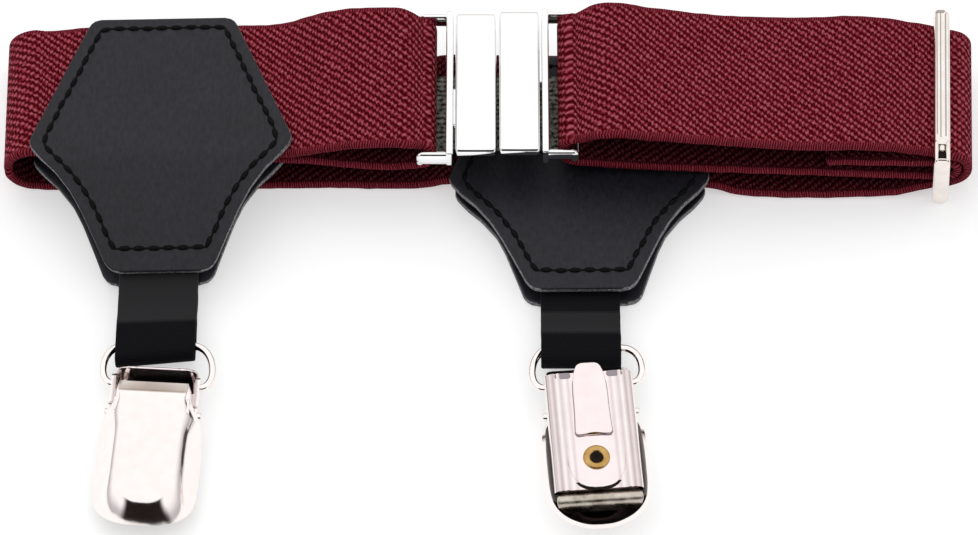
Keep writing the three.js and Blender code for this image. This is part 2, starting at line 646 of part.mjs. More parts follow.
function claspHalf({ far, near, bar, plateFrom, plateTo, low, high, barLow, barHigh, plateTop }) {
  const { y0, y1, plateY0, plateY1, endT, plateT, strapBar, innerRise, arm } = CLASP;
  const inward = Math.sign(near - far);
  const piece = (a, b, from, to, z0, z1) => block([Math.min(a, b), from, z0], [Math.max(a, b), to, z1]);
  return join(
    piece(far, far + inward * strapBar, y0, y1, barLow, barHigh),
    piece(far, near, y0, y0 + endT, low, high),
    piece(far, near, y1 - endT, y1, low, high),
    piece(near - inward * bar, near, y0, y1, low, high + innerRise),
    piece(near - inward * arm.root, plateTo - inward * arm.tip, plateY0 + arm.inset, plateY1 - arm.inset,
      low + arm.low, low + arm.high),
    piece(plateFrom, plateTo, plateY0, plateY1, plateTop - plateT, plateTop),
  );
}

for (const [name, half] of Object.entries(CLASP_HALVES)) {
  addPiece(garter, name, claspHalf(half), 'chrome');
}

// Slide on its long edge: three bars and two short ends
function slide() {
  const { x0, x1, y0, y1, z1, bar, end, middle } = SLIDE;
  const frame = block([x0, y0, 0], [x1, y1, z1]);
  const slot = (low, high) => block([x0 - 1, y0 + end, low], [x1 + 1, y1 - end, high]);
  return cut(frame, slot(bar, middle - bar / 2), slot(middle + bar / 2, z1 - bar)).translate(-x0, -y0, 0);
}
const slideMesh = addPiece(garter, 'slide', slide(), 'nickel');
slideMesh.position.set(SLIDE.x0, SLIDE.y0, 0);
slideMesh.rotation.z = THREE.MathUtils.degToRad(SLIDE.turn);

export default garter;
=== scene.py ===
"""Sock suspender: woven elastic strap, leather patches, ribbons, wire rings, clips, chromed clasp and slide.

Lengths in the tables are millimetres in the suspender's own layout: x along the loop, y across the strap
from its near edge, z up. placed() moves them to the frame and to metres.
"""
import math

import bmesh
import bpy
import numpy as np
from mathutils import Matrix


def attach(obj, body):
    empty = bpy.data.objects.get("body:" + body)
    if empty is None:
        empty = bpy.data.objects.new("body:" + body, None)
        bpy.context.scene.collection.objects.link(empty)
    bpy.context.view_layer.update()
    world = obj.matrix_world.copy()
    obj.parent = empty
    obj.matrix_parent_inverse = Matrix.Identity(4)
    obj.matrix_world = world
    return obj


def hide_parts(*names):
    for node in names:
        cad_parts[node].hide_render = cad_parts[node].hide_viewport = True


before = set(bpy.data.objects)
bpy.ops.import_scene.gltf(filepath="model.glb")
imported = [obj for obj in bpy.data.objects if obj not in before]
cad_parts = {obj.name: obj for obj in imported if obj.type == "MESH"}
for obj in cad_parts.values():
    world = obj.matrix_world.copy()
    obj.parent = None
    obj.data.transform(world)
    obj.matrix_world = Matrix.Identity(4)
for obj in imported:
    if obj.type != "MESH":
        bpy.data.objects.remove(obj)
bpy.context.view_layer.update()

MM = 0.001
TURN = 2 * math.pi
LAYOUT_TO_FRAME = np.array([-0.4, 17.2, 0.0])
rng = np.random.default_rng(7)

# Sizes shared by several pieces
STRAP_W, STRAP_T = 25.0, 1.4
LEATHER_T = 1.3
RIBBON_W, RIBBON_T = 12.5, 0.8
WIRE_R = 0.6
PLATE_T = 0.7
CLIP_H = 7.5
GAP = 0.3
# Steps of a section's rounded sides, from its edge to its flat face
SIDE_STEPS = 4


# Camera, at the photograph's angle
def place_camera():
    """A long lens that looks down at 58 degrees from 650 mm away, over the clips' side."""
    elevation, distance = math.radians(58), 650 * MM
    target = np.array([-0.4, 3.4, 0.0]) * MM
    lens = bpy.data.cameras.new("camera")
    lens.lens, lens.sensor_width = 150.0, 36.0
    lens.clip_start = 0.01
    camera = bpy.data.objects.new("camera", lens)
    camera.location = target + distance * np.array([0, -math.cos(elevation), math.sin(elevation)])
    camera.rotation_euler = (math.pi / 2 - elevation, 0, 0)
    bpy.context.collection.objects.link(camera)
    bpy.context.scene.camera = camera


# Materials
def linear(code):
    """sRGB hex colour to a linear RGBA tuple."""
    values = np.array([int(code[i:i + 2], 16) for i in (1, 3, 5)]) / 255
    values = np.where(values <= 0.04045, values / 12.92, ((values + 0.055) / 1.055) ** 2.4)
    return (*values, 1.0)


def wire(tree, node, inputs):
    """Sets each of a node's inputs to its value, or links it to a socket or to a node's first output."""
    for key, value in inputs.items():
        if isinstance(value, bpy.types.Node):
            value = value.outputs[0]
        if isinstance(value, bpy.types.NodeSocket):
            tree.links.new(value, node.inputs[key])
        else:
            node.inputs[key].default_value = value


def add(tree, kind, inputs=None, **settings):
    """Adds a node with its settings, then sets or links each of its inputs."""
    node = tree.nodes.new(kind)
    for name, value in settings.items():
        setattr(node, name, value)
    wire(tree, node, inputs or {})
    return node


def new_material(name):
    """A new material, with its nodes and its principled shader."""
    material = bpy.data.materials.new(name)
    material.use_nodes = True
    tree = material.node_tree
    return material, tree, tree.nodes["Principled BSDF"]


def ramp(tree, factor, stops, share=1.0):
    """Colour ramp node's output through (place, hex) stops, each colour dimmed to the share."""
    node = add(tree, "ShaderNodeValToRGB", {0: factor})
    elements = node.color_ramp.elements
    colours = [(*(share * value for value in linear(code)[:3]), 1.0) for _, code in stops]
    elements[0].position, elements[0].color = stops[0][0], colours[0]
    elements[1].position, elements[1].color = stops[-1][0], colours[-1]
    for (place, _), colour in zip(stops[1:-1], colours[1:-1]):
        elements.new(place).color = colour
    return node.outputs[0]


def woven_elastic(name, share):
    """Covered rubber woven as a raised three-thread twill, its colours dimmed to the share.

    Its columns stand 0.555 mm apart. Floats repeat each 1.36 mm up a column and move by a third of that from
    column to column, so they line up as ropes that fall to the right. A float lies level in its column or
    rises a little, then steps down to the next, pinched between the two. Its colour follows its height: the
    gaps under the ropes are painted nearly black as shade, and the floats' tops paler as painted highlight.
    The last millimetre at either edge is a ribbed selvage, coloured by its ribs' height the same way.
    """
    column, repeat, rib_pitch = 0.555, 1.36, 0.39
    step, rope_shape, pinch_depth, pinch_shape = 0.75, 1.2, 0.5, 2.5
    material, tree, shader = new_material(name)
    uv = add(tree, "ShaderNodeUVMap", uv_map="weave")
    wander = add(tree, "ShaderNodeTexNoise", {"Vector": uv, "Scale": 1.1, "Detail": 3.0}).outputs["Color"]
    shift = add(tree, "ShaderNodeVectorMath", {0: wander, 1: (0.5, 0.5, 0.5)}, operation="SUBTRACT")
    moved = add(tree, "ShaderNodeVectorMath", {0: shift, 1: (0.7, 0.95, 0), 2: uv}, operation="MULTIPLY_ADD")
    row = add(tree, "ShaderNodeVectorMath", {0: moved, 1: (-TURN / (3 * column), TURN / repeat, 0)},
              operation="DOT_PRODUCT").outputs["Value"]
    place = add(tree, "ShaderNodeVectorMath", {0: moved, 1: (TURN / column, 0, 0)}, operation="DOT_PRODUCT")
    place = place.outputs["Value"]
    lean = add(tree, "ShaderNodeMath", {0: place}, operation="SINE")
    bent = add(tree, "ShaderNodeMath", {0: lean, 1: step, 2: row}, operation="MULTIPLY_ADD")
    rope = add(tree, "ShaderNodeMath", {0: bent}, operation="COSINE")
    rope = add(tree, "ShaderNodeMath", {0: rope, 1: 0.5, 2: 0.5}, operation="MULTIPLY_ADD")
    rope = add(tree, "ShaderNodeMath", {0: rope, 1: rope_shape}, operation="POWER")
    pinch = add(tree, "ShaderNodeMath", {0: place}, operation="COSINE")
    notch = add(tree, "ShaderNodeMath", {0: pinch, 1: -0.5, 2: 0.5}, operation="MULTIPLY_ADD")
    notch = add(tree, "ShaderNodeMath", {0: notch, 1: pinch_shape}, operation="POWER")
    pinch = add(tree, "ShaderNodeMath", {0: notch, 1: -pinch_depth, 2: 1.0}, operation="MULTIPLY_ADD")
    floats = add(tree, "ShaderNodeMath", {0: rope, 1: pinch}, operation="MULTIPLY")
    fibre = add(tree, "ShaderNodeTexNoise", {"Vector": uv, "Scale": 3.2, "Detail": 3.0}).outputs["Fac"]
    strands = add(tree, "ShaderNodeMath", {0: fibre, 1: 0.42, 2: floats}, operation="MULTIPLY_ADD")
    wear = add(tree, "ShaderNodeTexNoise", {"Vector": uv, "Scale": 1.9, "Detail": 1.0}).outputs["Fac"]
    wear = add(tree, "ShaderNodeMapRange", {0: wear, 1: 0.3, 2: 0.7, 3: 0.64, 4: 1.12})
    strands = add(tree, "ShaderNodeMath", {0: strands, 1: wear}, operation="MULTIPLY")

    # Selvage: slanted ribs over the last millimetre at both edges
    across = add(tree, "ShaderNodeSeparateXYZ", {0: uv}).outputs[1]
    off_middle = add(tree, "ShaderNodeMath", {0: across, 1: STRAP_W / 2}, operation="SUBTRACT")
    out = add(tree, "ShaderNodeMath", {0: off_middle}, operation="ABSOLUTE")
    border = add(tree, "ShaderNodeMapRange", {0: out, 1: STRAP_W / 2 - 1.15, 2: STRAP_W / 2 - 0.8})
    slant = add(tree, "ShaderNodeVectorMath", {0: moved, 1: (TURN / rib_pitch, 3.0, 0)},
                operation="DOT_PRODUCT").outputs["Value"]
    rib = add(tree, "ShaderNodeMath", {0: slant}, operation="SINE")
    ribs = add(tree, "ShaderNodeMath", {0: rib, 1: 0.3, 2: 0.62}, operation="MULTIPLY_ADD")
    height = add(tree, "ShaderNodeMix", {0: border, 2: strands, 3: ribs})

    # Colour from the height: painted shade in the low gaps, painted highlight on the raised tops
    body = ramp(tree, strands, [(0.14, "#340003"), (0.34, "#5c0a14"), (0.58, "#7c2231"), (0.84, "#93404b"),
                                (1.0, "#a35760")], share)
    selvage = ramp(tree, ribs, [(0.3, "#3f0208"), (0.62, "#701727"), (0.95, "#8f3c47")], share)
    colour = add(tree, "ShaderNodeMix", {0: border, 6: body, 7: selvage}, data_type="RGBA").outputs[2]
    bump = add(tree, "ShaderNodeBump", {"Height": height, "Strength": 0.8, "Distance": 0.3 * MM})
    wire(tree, shader, {"Base Color": colour, "Normal": bump, "Roughness": 0.85, "Specular IOR Level": 0.04})
    return material


def finished_leather():
    """Corrected-grain cowhide with a sprayed black finish: fine pores 0.32 mm apart, a faint streaky mottle
    and a soft gloss."""
    pore, crease, streak, patch = 0.32 * MM, 0.9 * MM, 0.5 * MM, 9 * MM
    material, tree, shader = new_material("leather_black_finished")
    place = add(tree, "ShaderNodeTexCoord").outputs["Object"]
    pores = add(tree, "ShaderNodeTexVoronoi", {"Vector": place, "Scale": 1 / pore}).outputs["Distance"]
    grain = add(tree, "ShaderNodeTexNoise", {"Vector": place, "Scale": 1 / crease, "Detail": 4.0})
    grain = grain.outputs["Fac"]
    relief = add(tree, "ShaderNodeMath", {0: pores, 1: 0.35, 2: grain}, operation="MULTIPLY_ADD")
    bump = add(tree, "ShaderNodeBump", {"Height": relief, "Strength": 0.6, "Distance": 0.06 * MM})
    cloud = add(tree, "ShaderNodeTexNoise", {"Vector": place, "Scale": 1 / patch, "Detail": 3.0}).outputs["Fac"]
    drawn = add(tree, "ShaderNodeMapping", {"Vector": place, "Scale": (1.0, 0.35, 1.0)})
    mottle = add(tree, "ShaderNodeTexNoise", {"Vector": drawn, "Scale": 1 / streak, "Detail": 3.0})
    mixed = add(tree, "ShaderNodeMix", {0: 0.75, 2: cloud, 3: mottle.outputs["Fac"]})
    colour = ramp(tree, mixed, [(0.35, "#08070d"), (0.65, "#1a1923")])
    gloss = add(tree, "ShaderNodeMapRange", {0: grain, 1: 0.3, 2: 0.7, 3: 0.42, 4: 0.56})
    wire(tree, shader, {"Base Color": colour, "Roughness": gloss, "Normal": bump, "Specular IOR Level": 0.37})
    return material


def cut_leather():
    """The leather's cut edge: bare fibres in greys, 0.4 mm apart and matt."""
    fine = 0.4 * MM
    material, tree, shader = new_material("leather_cut_edge")
    place = add(tree, "ShaderNodeTexCoord").outputs["Object"]
    fibre = add(tree, "ShaderNodeTexNoise", {"Vector": place, "Scale": 1 / fine, "Detail": 4.0}).outputs["Fac"]
    colour = ramp(tree, fibre, [(0.35, "#454447"), (0.55, "#777678"), (0.75, "#a2a1a5")])
    bump = add(tree, "ShaderNodeBump", {"Height": fibre, "Strength": 0.6, "Distance": 0.1 * MM})
    wire(tree, shader, {"Base Color": colour, "Normal": bump, "Roughness": 0.85})
    return material


def bonded_thread():
    """Black bonded polyester thread, twisted once each 0.5 mm."""
    material, tree, shader = new_material("thread_black_polyester")
    place = add(tree, "ShaderNodeTexCoord").outputs["Object"]
    twist = add(tree, "ShaderNodeTexWave", {"Vector": place, "Scale": 1 / (1.6 * MM), "Distortion": 1.0},
                wave_type="BANDS", bands_direction="DIAGONAL").outputs["Fac"]
    bump = add(tree, "ShaderNodeBump", {"Height": twist, "Strength": 0.5, "Distance": 0.06 * MM})
    # Colour follows the twist: painted shade in its grooves
    colour = ramp(tree, twist, [(0.0, "#020203"), (1.0, "#09090b")])
    wire(tree, shader, {"Base Color": colour, "Normal": bump, "Roughness": 0.7, "Specular IOR Level": 0.12})
    return material


def plain(name, code, roughness, metallic=0.0):
    """One even colour, for what is too small or too dark to show a pattern."""
    material, tree, shader = new_material(name)
    wire(tree, shader, {"Base Color": linear(code), "Roughness": roughness, "Metallic": metallic,
                        "Specular IOR Level": 0.1})
    return material


def ribbon_cloth(name, start, end):
    """Black nylon ribbon: fine cross ribs 0.36 mm apart, with painted shade in their hollows, and a painted
    sheen from start to end, in millimetres from its fold, with less sheen elsewhere."""
    rib_pitch, soft = 0.36, 0.4
    material, tree, shader = new_material(name)
    uv = add(tree, "ShaderNodeUVMap", uv_map="weave")
    along = add(tree, "ShaderNodeSeparateXYZ", {0: uv})
    phase = add(tree, "ShaderNodeMath", {0: along, 1: TURN / rib_pitch}, operation="MULTIPLY")
    rib = add(tree, "ShaderNodeMath", {0: phase}, operation="SINE")
    fibre = add(tree, "ShaderNodeTexNoise", {"Vector": uv, "Scale": 4.0, "Detail": 3.0}).outputs["Fac"]
    relief = add(tree, "ShaderNodeMath", {0: rib, 1: 0.25, 2: fibre}, operation="MULTIPLY_ADD")
    bump = add(tree, "ShaderNodeBump", {"Height": relief, "Strength": 0.35, "Distance": 0.06 * MM})
    # Colour follows the relief: painted shade in the ribs' hollows
    colour = ramp(tree, relief, [(0.2, "#0a0a0c"), (0.85, "#17171b")])
    # Painted sheen: the specular level is raised from start to end, in millimetres from the fold
    off_fold = add(tree, "ShaderNodeMath", {0: along}, operation="ABSOLUTE")
    after = add(tree, "ShaderNodeMapRange", {0: off_fold, 1: start - soft, 2: start + soft, 3: 0.03, 4: 0.28})
    before = add(tree, "ShaderNodeMapRange", {0: off_fold, 1: end - soft, 2: end + soft, 3: 1.0, 4: 0.15})
    gloss = add(tree, "ShaderNodeMath", {0: after, 1: before}, operation="MULTIPLY")
    wire(tree, shader, {"Base Color": colour, "Normal": bump, "Roughness": 0.6, "Specular IOR Level": gloss})
    return material


def coarse_tape():
    """Dull tape of grey green cotton: soft yarns 0.9 mm apart across it, mottled, with painted shade in the
    gaps between.
    """
    yarn_pitch = 0.9
    material, tree, shader = new_material("tape_grey_green")
    uv = add(tree, "ShaderNodeUVMap", uv_map="weave")
    fibre = add(tree, "ShaderNodeTexNoise", {"Vector": uv, "Scale": 1.5, "Detail": 4.0}).outputs["Fac"]
    phase = add(tree, "ShaderNodeVectorMath", {0: uv, 1: (0, TURN / yarn_pitch, 0)}, operation="DOT_PRODUCT")
    yarn = add(tree, "ShaderNodeMath", {0: phase.outputs["Value"]}, operation="SINE")
    relief = add(tree, "ShaderNodeMath", {0: yarn, 1: 0.07, 2: fibre}, operation="MULTIPLY_ADD")
    # Colour follows the relief: painted shade in the gaps between yarns, over a random mottle
    colour = ramp(tree, relief, [(0.36, "#303632"), (0.5, "#7d8079"), (0.64, "#b1aea3")])
    bump = add(tree, "ShaderNodeBump", {"Height": relief, "Strength": 0.7, "Distance": 0.3 * MM})
    wire(tree, shader, {"Base Color": colour, "Normal": bump, "Roughness": 0.9, "Specular IOR Level": 0.1})
    return material


def painted_streaks(tree, colour, side):
    """The colour, greyed in soft bands of painted reflection along a clip, by the distance from its middle
    line.
    """
    place = add(tree, "ShaderNodeTexCoord").outputs["Object"]
    angle = math.radians(side["turn"])
    middle = tuple((np.array([side["x"], side["y"], 0]) + LAYOUT_TO_FRAME) * MM)
    centred = add(tree, "ShaderNodeVectorMath", {0: place, 1: middle}, operation="SUBTRACT")
    across = (math.cos(angle) / (HALF * MM), math.sin(angle) / (HALF * MM), 0)
    across = add(tree, "ShaderNodeVectorMath", {0: centred, 1: across}, operation="DOT_PRODUCT")
    out = add(tree, "ShaderNodeMath", {0: across.outputs["Value"]}, operation="ABSOLUTE")
    # Grey bands near the bends: painted reflection
    grey = ramp(tree, out, [(far / HALF, code) for far, code in PAINTED_STREAKS])
    painted_streaked = add(tree, "ShaderNodeMix", {0: 1.0, 6: colour, 7: grey}, data_type="RGBA", blend_type="MULTIPLY")
    return painted_streaked.outputs[2]


def plated_metal(name, light, dark, roughness, wave, side=None):
    """Polished and plated sheet: a mirror with faint waves from pressing and a few duller spots.

    With a side, soft bands of painted reflection grey it along that side's clip.
    """
    dent, spot = 3.0 * MM, 2.0 * MM
    material, tree, shader = new_material(name)
    place = add(tree, "ShaderNodeTexCoord").outputs["Object"]
    waves = add(tree, "ShaderNodeTexNoise", {"Vector": place, "Scale": 1 / dent, "Detail": 1.0}).outputs["Fac"]
    bump = add(tree, "ShaderNodeBump", {"Height": waves, "Strength": wave, "Distance": 0.2 * MM})
    cloud = add(tree, "ShaderNodeTexNoise", {"Vector": place, "Scale": 1 / spot, "Detail": 4.0}).outputs["Fac"]
    colour = ramp(tree, cloud, [(0.35, dark), (0.65, light)])
    if side:
        colour = painted_streaks(tree, colour, side)
    dull = add(tree, "ShaderNodeMapRange", {0: cloud, 1: 0.4, 2: 0.7, 3: roughness * 0.8, 4: roughness * 1.3})
    wire(tree, shader, {"Base Color": colour, "Roughness": dull, "Normal": bump, "Metallic": 1.0})
    return material


# Shapes
def placed(points):
    """Layout millimetres to frame metres."""
    return (np.asarray(points) + LAYOUT_TO_FRAME) * MM


def about_z(degrees):
    """Matrix of a turn about Z by the angle."""
    angle = math.radians(degrees)
    return np.array([[math.cos(angle), -math.sin(angle), 0], [math.sin(angle), math.cos(angle), 0], [0, 0, 1]])


def catmull(points, t):
    """Centripetal Catmull-Rom curve through the points, at shares t of the way counted in spans."""
    points = np.asarray(points, float)
    spans = len(points) - 1
    p = np.vstack([2 * points[0] - points[1], points, 2 * points[-1] - points[-2]])
    at = np.clip(t, 0, 1) * spans
    k = np.minimum(at.astype(int), spans - 1)
    x = (at - k)[:, None]
    p0, p1, p2, p3 = p[k], p[k + 1], p[k + 2], p[k + 3]
    d0, d1, d2 = (np.sqrt(np.linalg.norm(b - a, axis=1))[:, None]
                  for a, b in ((p0, p1), (p1, p2), (p2, p3)))
    tiny = 1e-4
    d1 = np.where(d1 < tiny, 1, d1)
    d0 = np.where(d0 < tiny, d1, d0)
    d2 = np.where(d2 < tiny, d1, d2)
    t1 = ((p1 - p0) / d0 - (p2 - p0) / (d0 + d1) + (p2 - p1) / d1) * d1
    t2 = ((p2 - p1) / d1 - (p3 - p1) / (d1 + d2) + (p3 - p2) / d2) * d1
    return p1 + t1 * x + (3 * (p2 - p1) - 2 * t1 - t2) * x ** 2 + (2 * (p1 - p2) + t1 + t2) * x ** 3


def run_lengths(points):
    """Length along a line of points up to each of them."""
    return np.concatenate([[0], np.cumsum(np.linalg.norm(np.diff(points, axis=0), axis=1))])


def evenly(points, steps):
    """Spans' shares that give steps equal lengths along the curve through the points, and its whole length."""
    dense = np.linspace(0, 1, 8001)
    length = run_lengths(catmull(points, dense))
    return np.interp(np.linspace(0, length[-1], steps + 1), length, dense), length[-1]


def unit(vectors):
    """Vectors scaled to length one."""
    return vectors / np.linalg.norm(vectors, axis=-1, keepdims=True)


def smoothed(values, count):
    """Running mean over count neighbours, with the ends held."""
    padded = np.concatenate([np.full(count, values[0]), values, np.full(count, values[-1])])
    return np.convolve(padded, np.ones(count) / count, mode="same")[count:-count]


def wobble(places, pitch, size):
    """Smooth random line: three sines with random starts, the longest of this pitch and size."""
    total = np.zeros_like(places)
    for share in (1.0, 0.61, 0.37):
        total += np.sin(TURN * places / (pitch * share) + rng.uniform(0, 6)) * size * share
    return total


def loft(grid, sheet=False):
    """Vertices and faces of a closed tube: rows of points that each close on themselves, both ends capped.

    A sheet's row runs out along one face and back along the other, and its ends are capped straight across.
    """
    rows, count = grid.shape[:2]
    i, j = np.meshgrid(np.arange(rows - 1), np.arange(count), indexing="ij")
    a, b = i * count + j, i * count + (j + 1) % count
    faces = np.stack([a, b, b + count, a + count], axis=-1).reshape(-1, 4).tolist()
    last = (rows - 1) * count
    if sheet:
        k = np.arange(count // 2 - 1)
        cap = np.stack([k, k + 1, count - 2 - k, count - 1 - k], axis=-1)
        faces += cap[:, ::-1].tolist() + (cap + last).tolist()
    else:
        faces.append(list(range(count))[::-1])
        faces.append(list(range(last, rows * count)))
    return grid.reshape(-1, 3), faces


def piece(name, shells, materials, body, nodes=(), uv=None, kinds=None, merge=0.0):
    """Makes one object of several shells in frame metres.

    uv is one (u, v) for each vertex and kinds one material index for each face.
    """
    vertices = np.vstack([v for v, _ in shells])
    starts = np.cumsum([0] + [len(v) for v, _ in shells[:-1]])
    faces = [[k + s for k in f] for (_, fs), s in zip(shells, starts) for f in fs]
    mesh = bpy.data.meshes.new(name)
    mesh.from_pydata(vertices.tolist(), [], faces)
    if uv is not None:
        corner = np.empty(len(mesh.loops), dtype=np.int32)
        mesh.loops.foreach_get("vertex_index", corner)
        layer = mesh.uv_layers.new(name="weave")
        layer.data.foreach_set("uv", np.asarray(uv, dtype=np.float32)[corner].ravel())
    for material in materials:
        mesh.materials.append(material)
    if kinds is not None:
        mesh.polygons.foreach_set("material_index", np.asarray(kinds, dtype=np.int32))
    mesh.validate()
    facing_out(mesh, merge)
    thing = bpy.data.objects.new(name, mesh)
    bpy.context.collection.objects.link(thing)
    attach(thing, body)
    if nodes:
        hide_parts(*nodes)
    return thing


def facing_out(mesh, merge):
    """Merges doubles within merge metres, turns the faces of every shell outwards and shades them smooth."""
    work = bmesh.new()
    work.from_mesh(mesh)
    if merge:
        bmesh.ops.remove_doubles(work, verts=work.verts, dist=merge)
    bmesh.ops.recalc_face_normals(work, faces=work.faces)
    work.to_mesh(mesh)
    work.free()
    mesh.shade_smooth()


def crisp(thing, degrees):
    """Keeps edges sharper than the angle crisp, with smooth faces between them."""
    thing.data.set_sharp_from_angle(angle=math.radians(degrees))


def section(half, thickness, round_, across):
    """Loop round a flat section: (place across from -half to half, height), with rounded sides.

    half may be an array: the result then has one loop for each value.
    """
    half = np.atleast_1d(np.asarray(half, float))[:, None]
    quarter = np.linspace(0, math.pi / 2, SIDE_STEPS + 1)
    flat = np.linspace(-1, 1, across)[None, :]
    rise = thickness / 2
    corner = half - round_
    top = np.concatenate([
        -corner - round_ * np.cos(quarter)[None, :-1],
        corner * flat,
        corner + round_ * np.cos(quarter[::-1])[None, 1:],
    ], axis=1)
    side = rise - round_ + round_ * np.sin(quarter)
    height = np.concatenate([side[:-1], np.full(across, rise), side[::-1][1:]])
    height = np.broadcast_to(height, top.shape)
    around = np.concatenate([top, top[:, ::-1]], axis=1)
    return around, np.concatenate([height, -height[:, ::-1]], axis=1)


def band(centre, side, half, thickness, round_=0.2, across=12):
    """Closed flat band: a rounded section carried along centre, of half width half across it to each side.

    Both ends are rounded off as the sides are. Returns the grid of points and the section's places across.
    """
    centre, side = np.asarray(centre, float), unit(np.asarray(side, float))
    tangent = unit(np.gradient(centre, axis=0))
    normal = unit(np.cross(tangent, side))
    half = np.broadcast_to(np.asarray(half, float), (len(centre),))
    turn = np.linspace(math.pi / 2, 0, 4)[:-1]
    first = centre[0] - tangent[0] * (round_ * np.sin(turn))[:, None] + tangent[0] * round_
    last = (centre[-1] + tangent[-1] * (round_ * np.sin(turn))[:, None] - tangent[-1] * round_)[::-1]
    drawn_in = round_ * (1 - np.cos(turn))
    squeeze = np.concatenate([drawn_in, np.zeros(len(centre) - 2), drawn_in[::-1]])
    stretch = [len(turn)] + [1] * (len(centre) - 2) + [len(turn)]
    pick = np.repeat(np.arange(len(centre)), stretch)
    spine = np.vstack([first, centre[1:-1], last])
    out, height = section(half[pick] - squeeze, thickness, round_, across)
    height = height * ((thickness / 2 - squeeze) / (thickness / 2))[:, None]
    grid = spine[:, None] + side[pick][:, None] * out[..., None] + normal[pick][:, None] * height[..., None]
    return grid, out


def tube(path, radius, sides=14):
    """Closed round tube of the radius along the path, its section carried without twist."""
    path = np.asarray(path, float)
    tangent = unit(np.gradient(path, axis=0))
    up = np.array([0.0, 0.0, 1.0]) if abs(tangent[0, 2]) < 0.9 else np.array([1.0, 0.0, 0.0])
    across = unit(np.cross(tangent, up))
    over = np.cross(across, tangent)
    angle = np.linspace(0, TURN, sides, endpoint=False)
    radius = np.broadcast_to(np.asarray(radius, float), (len(path),))[:, None, None]
    ring = across[:, None] * np.cos(angle)[None, :, None] + over[:, None] * np.sin(angle)[None, :, None]
    return path[:, None] + ring * radius


def rounded_block(low, high, round_, cuts=4):
    """Box with rounded edges: the eight parts of a ball stand in its corners.

    round_ is the ball's radius, or one for each direction, which makes it an ellipsoid.
    """
    low, high = np.asarray(low, float), np.asarray(high, float)
    round_ = np.minimum(np.broadcast_to(round_, 3), (high - low) / 2 - 1e-4)
    quarter = np.linspace(0.0, math.pi / 2, cuts + 1)
    latitude = np.concatenate([quarter - math.pi / 2, quarter])
    longitude = np.concatenate([quarter + k * math.pi / 2 for k in range(4)])
    corner_x = np.repeat([1, -1, -1, 1], cuts + 1)
    corner_y = np.repeat([1, 1, -1, -1], cuts + 1)
    corner_z = np.repeat([-1, 1], cuts + 1)
    a, o = np.meshgrid(latitude, longitude, indexing="ij")
    ball = np.stack([np.cos(a) * np.cos(o), np.cos(a) * np.sin(o), np.sin(a)], axis=-1)
    signs = np.stack([np.broadcast_to(corner_x, a.shape), np.broadcast_to(corner_y, a.shape),
                      np.broadcast_to(corner_z[:, None], a.shape)], axis=-1)
    return (low + high) / 2 + signs * ((high - low) / 2 - round_) + ball * round_


def by_shell(shells, kinds):
    """One material index for each face, from one for each shell."""
    return np.repeat(kinds, [len(faces) for _, faces in shells])


def turned(profile, sides, to_place):
    """Ring turned round an axis: a closed line of (radius, height) points, repeated on so many sides."""
    profile = np.asarray(profile, float)
    angle = np.linspace(0, TURN, sides, endpoint=False)[:, None]
    radius, height = profile[:, 0][None], profile[:, 1][None]
    grid = np.stack([radius * np.cos(angle), radius * np.sin(angle), height + 0 * angle], axis=-1)
    count = len(profile)
    i, j = np.meshgrid(np.arange(sides), np.arange(count), indexing="ij")
    a = i * count + j
    b = i * count + (j + 1) % count
    c = ((i + 1) % sides) * count + (j + 1) % count
    d = ((i + 1) % sides) * count + j
    faces = np.stack([a, d, c, b], axis=-1).reshape(-1, 4).tolist()
    return to_place(grid.reshape(-1, 3)), faces


def as_shell(grid, to_place=placed, sheet=False):
    """A lofted grid's vertices in the frame, with its faces."""
    vertices, faces = loft(grid, sheet)
    return to_place(vertices), faces


# Strap's and ribbons' routes
SLIDE_MIDDLE = 6.45
FOLD_L = (-72.6, 5.2, 4.5, 4.5)
FOLD_R = (72.6, SLIDE_MIDDLE, 4.0, 3.95)
WRAP_S = (73.2, SLIDE_MIDDLE, 1.75, 1.85)
WRAP_L = (-11.0, 10.1, 1.9, 2.7)
WRAP_R = (13.6, 11.4, 1.9, 3.1)
FLOOR_Z = STRAP_T / 2 + 0.01
PATCH_A_STRAP_Z, PATCH_A_END_Z = 9.7, 7.9
PATCH_B_STRAP_Z = LEATHER_T + GAP + STRAP_T / 2


def arc(ellipse, start, end, steps, lift, y, skew=0.0):
    """Rows (x, z, lift, y, skew) on an ellipse (centre x, centre z, radius x, radius z) between two angles."""
    x, z, rx, rz = ellipse
    angle = np.radians(np.linspace(start, end, steps + 1))
    ends = np.broadcast_to([lift, y, skew], (steps + 1, 3))
    return np.column_stack([x + rx * np.cos(angle), z + rz * np.sin(angle), ends])


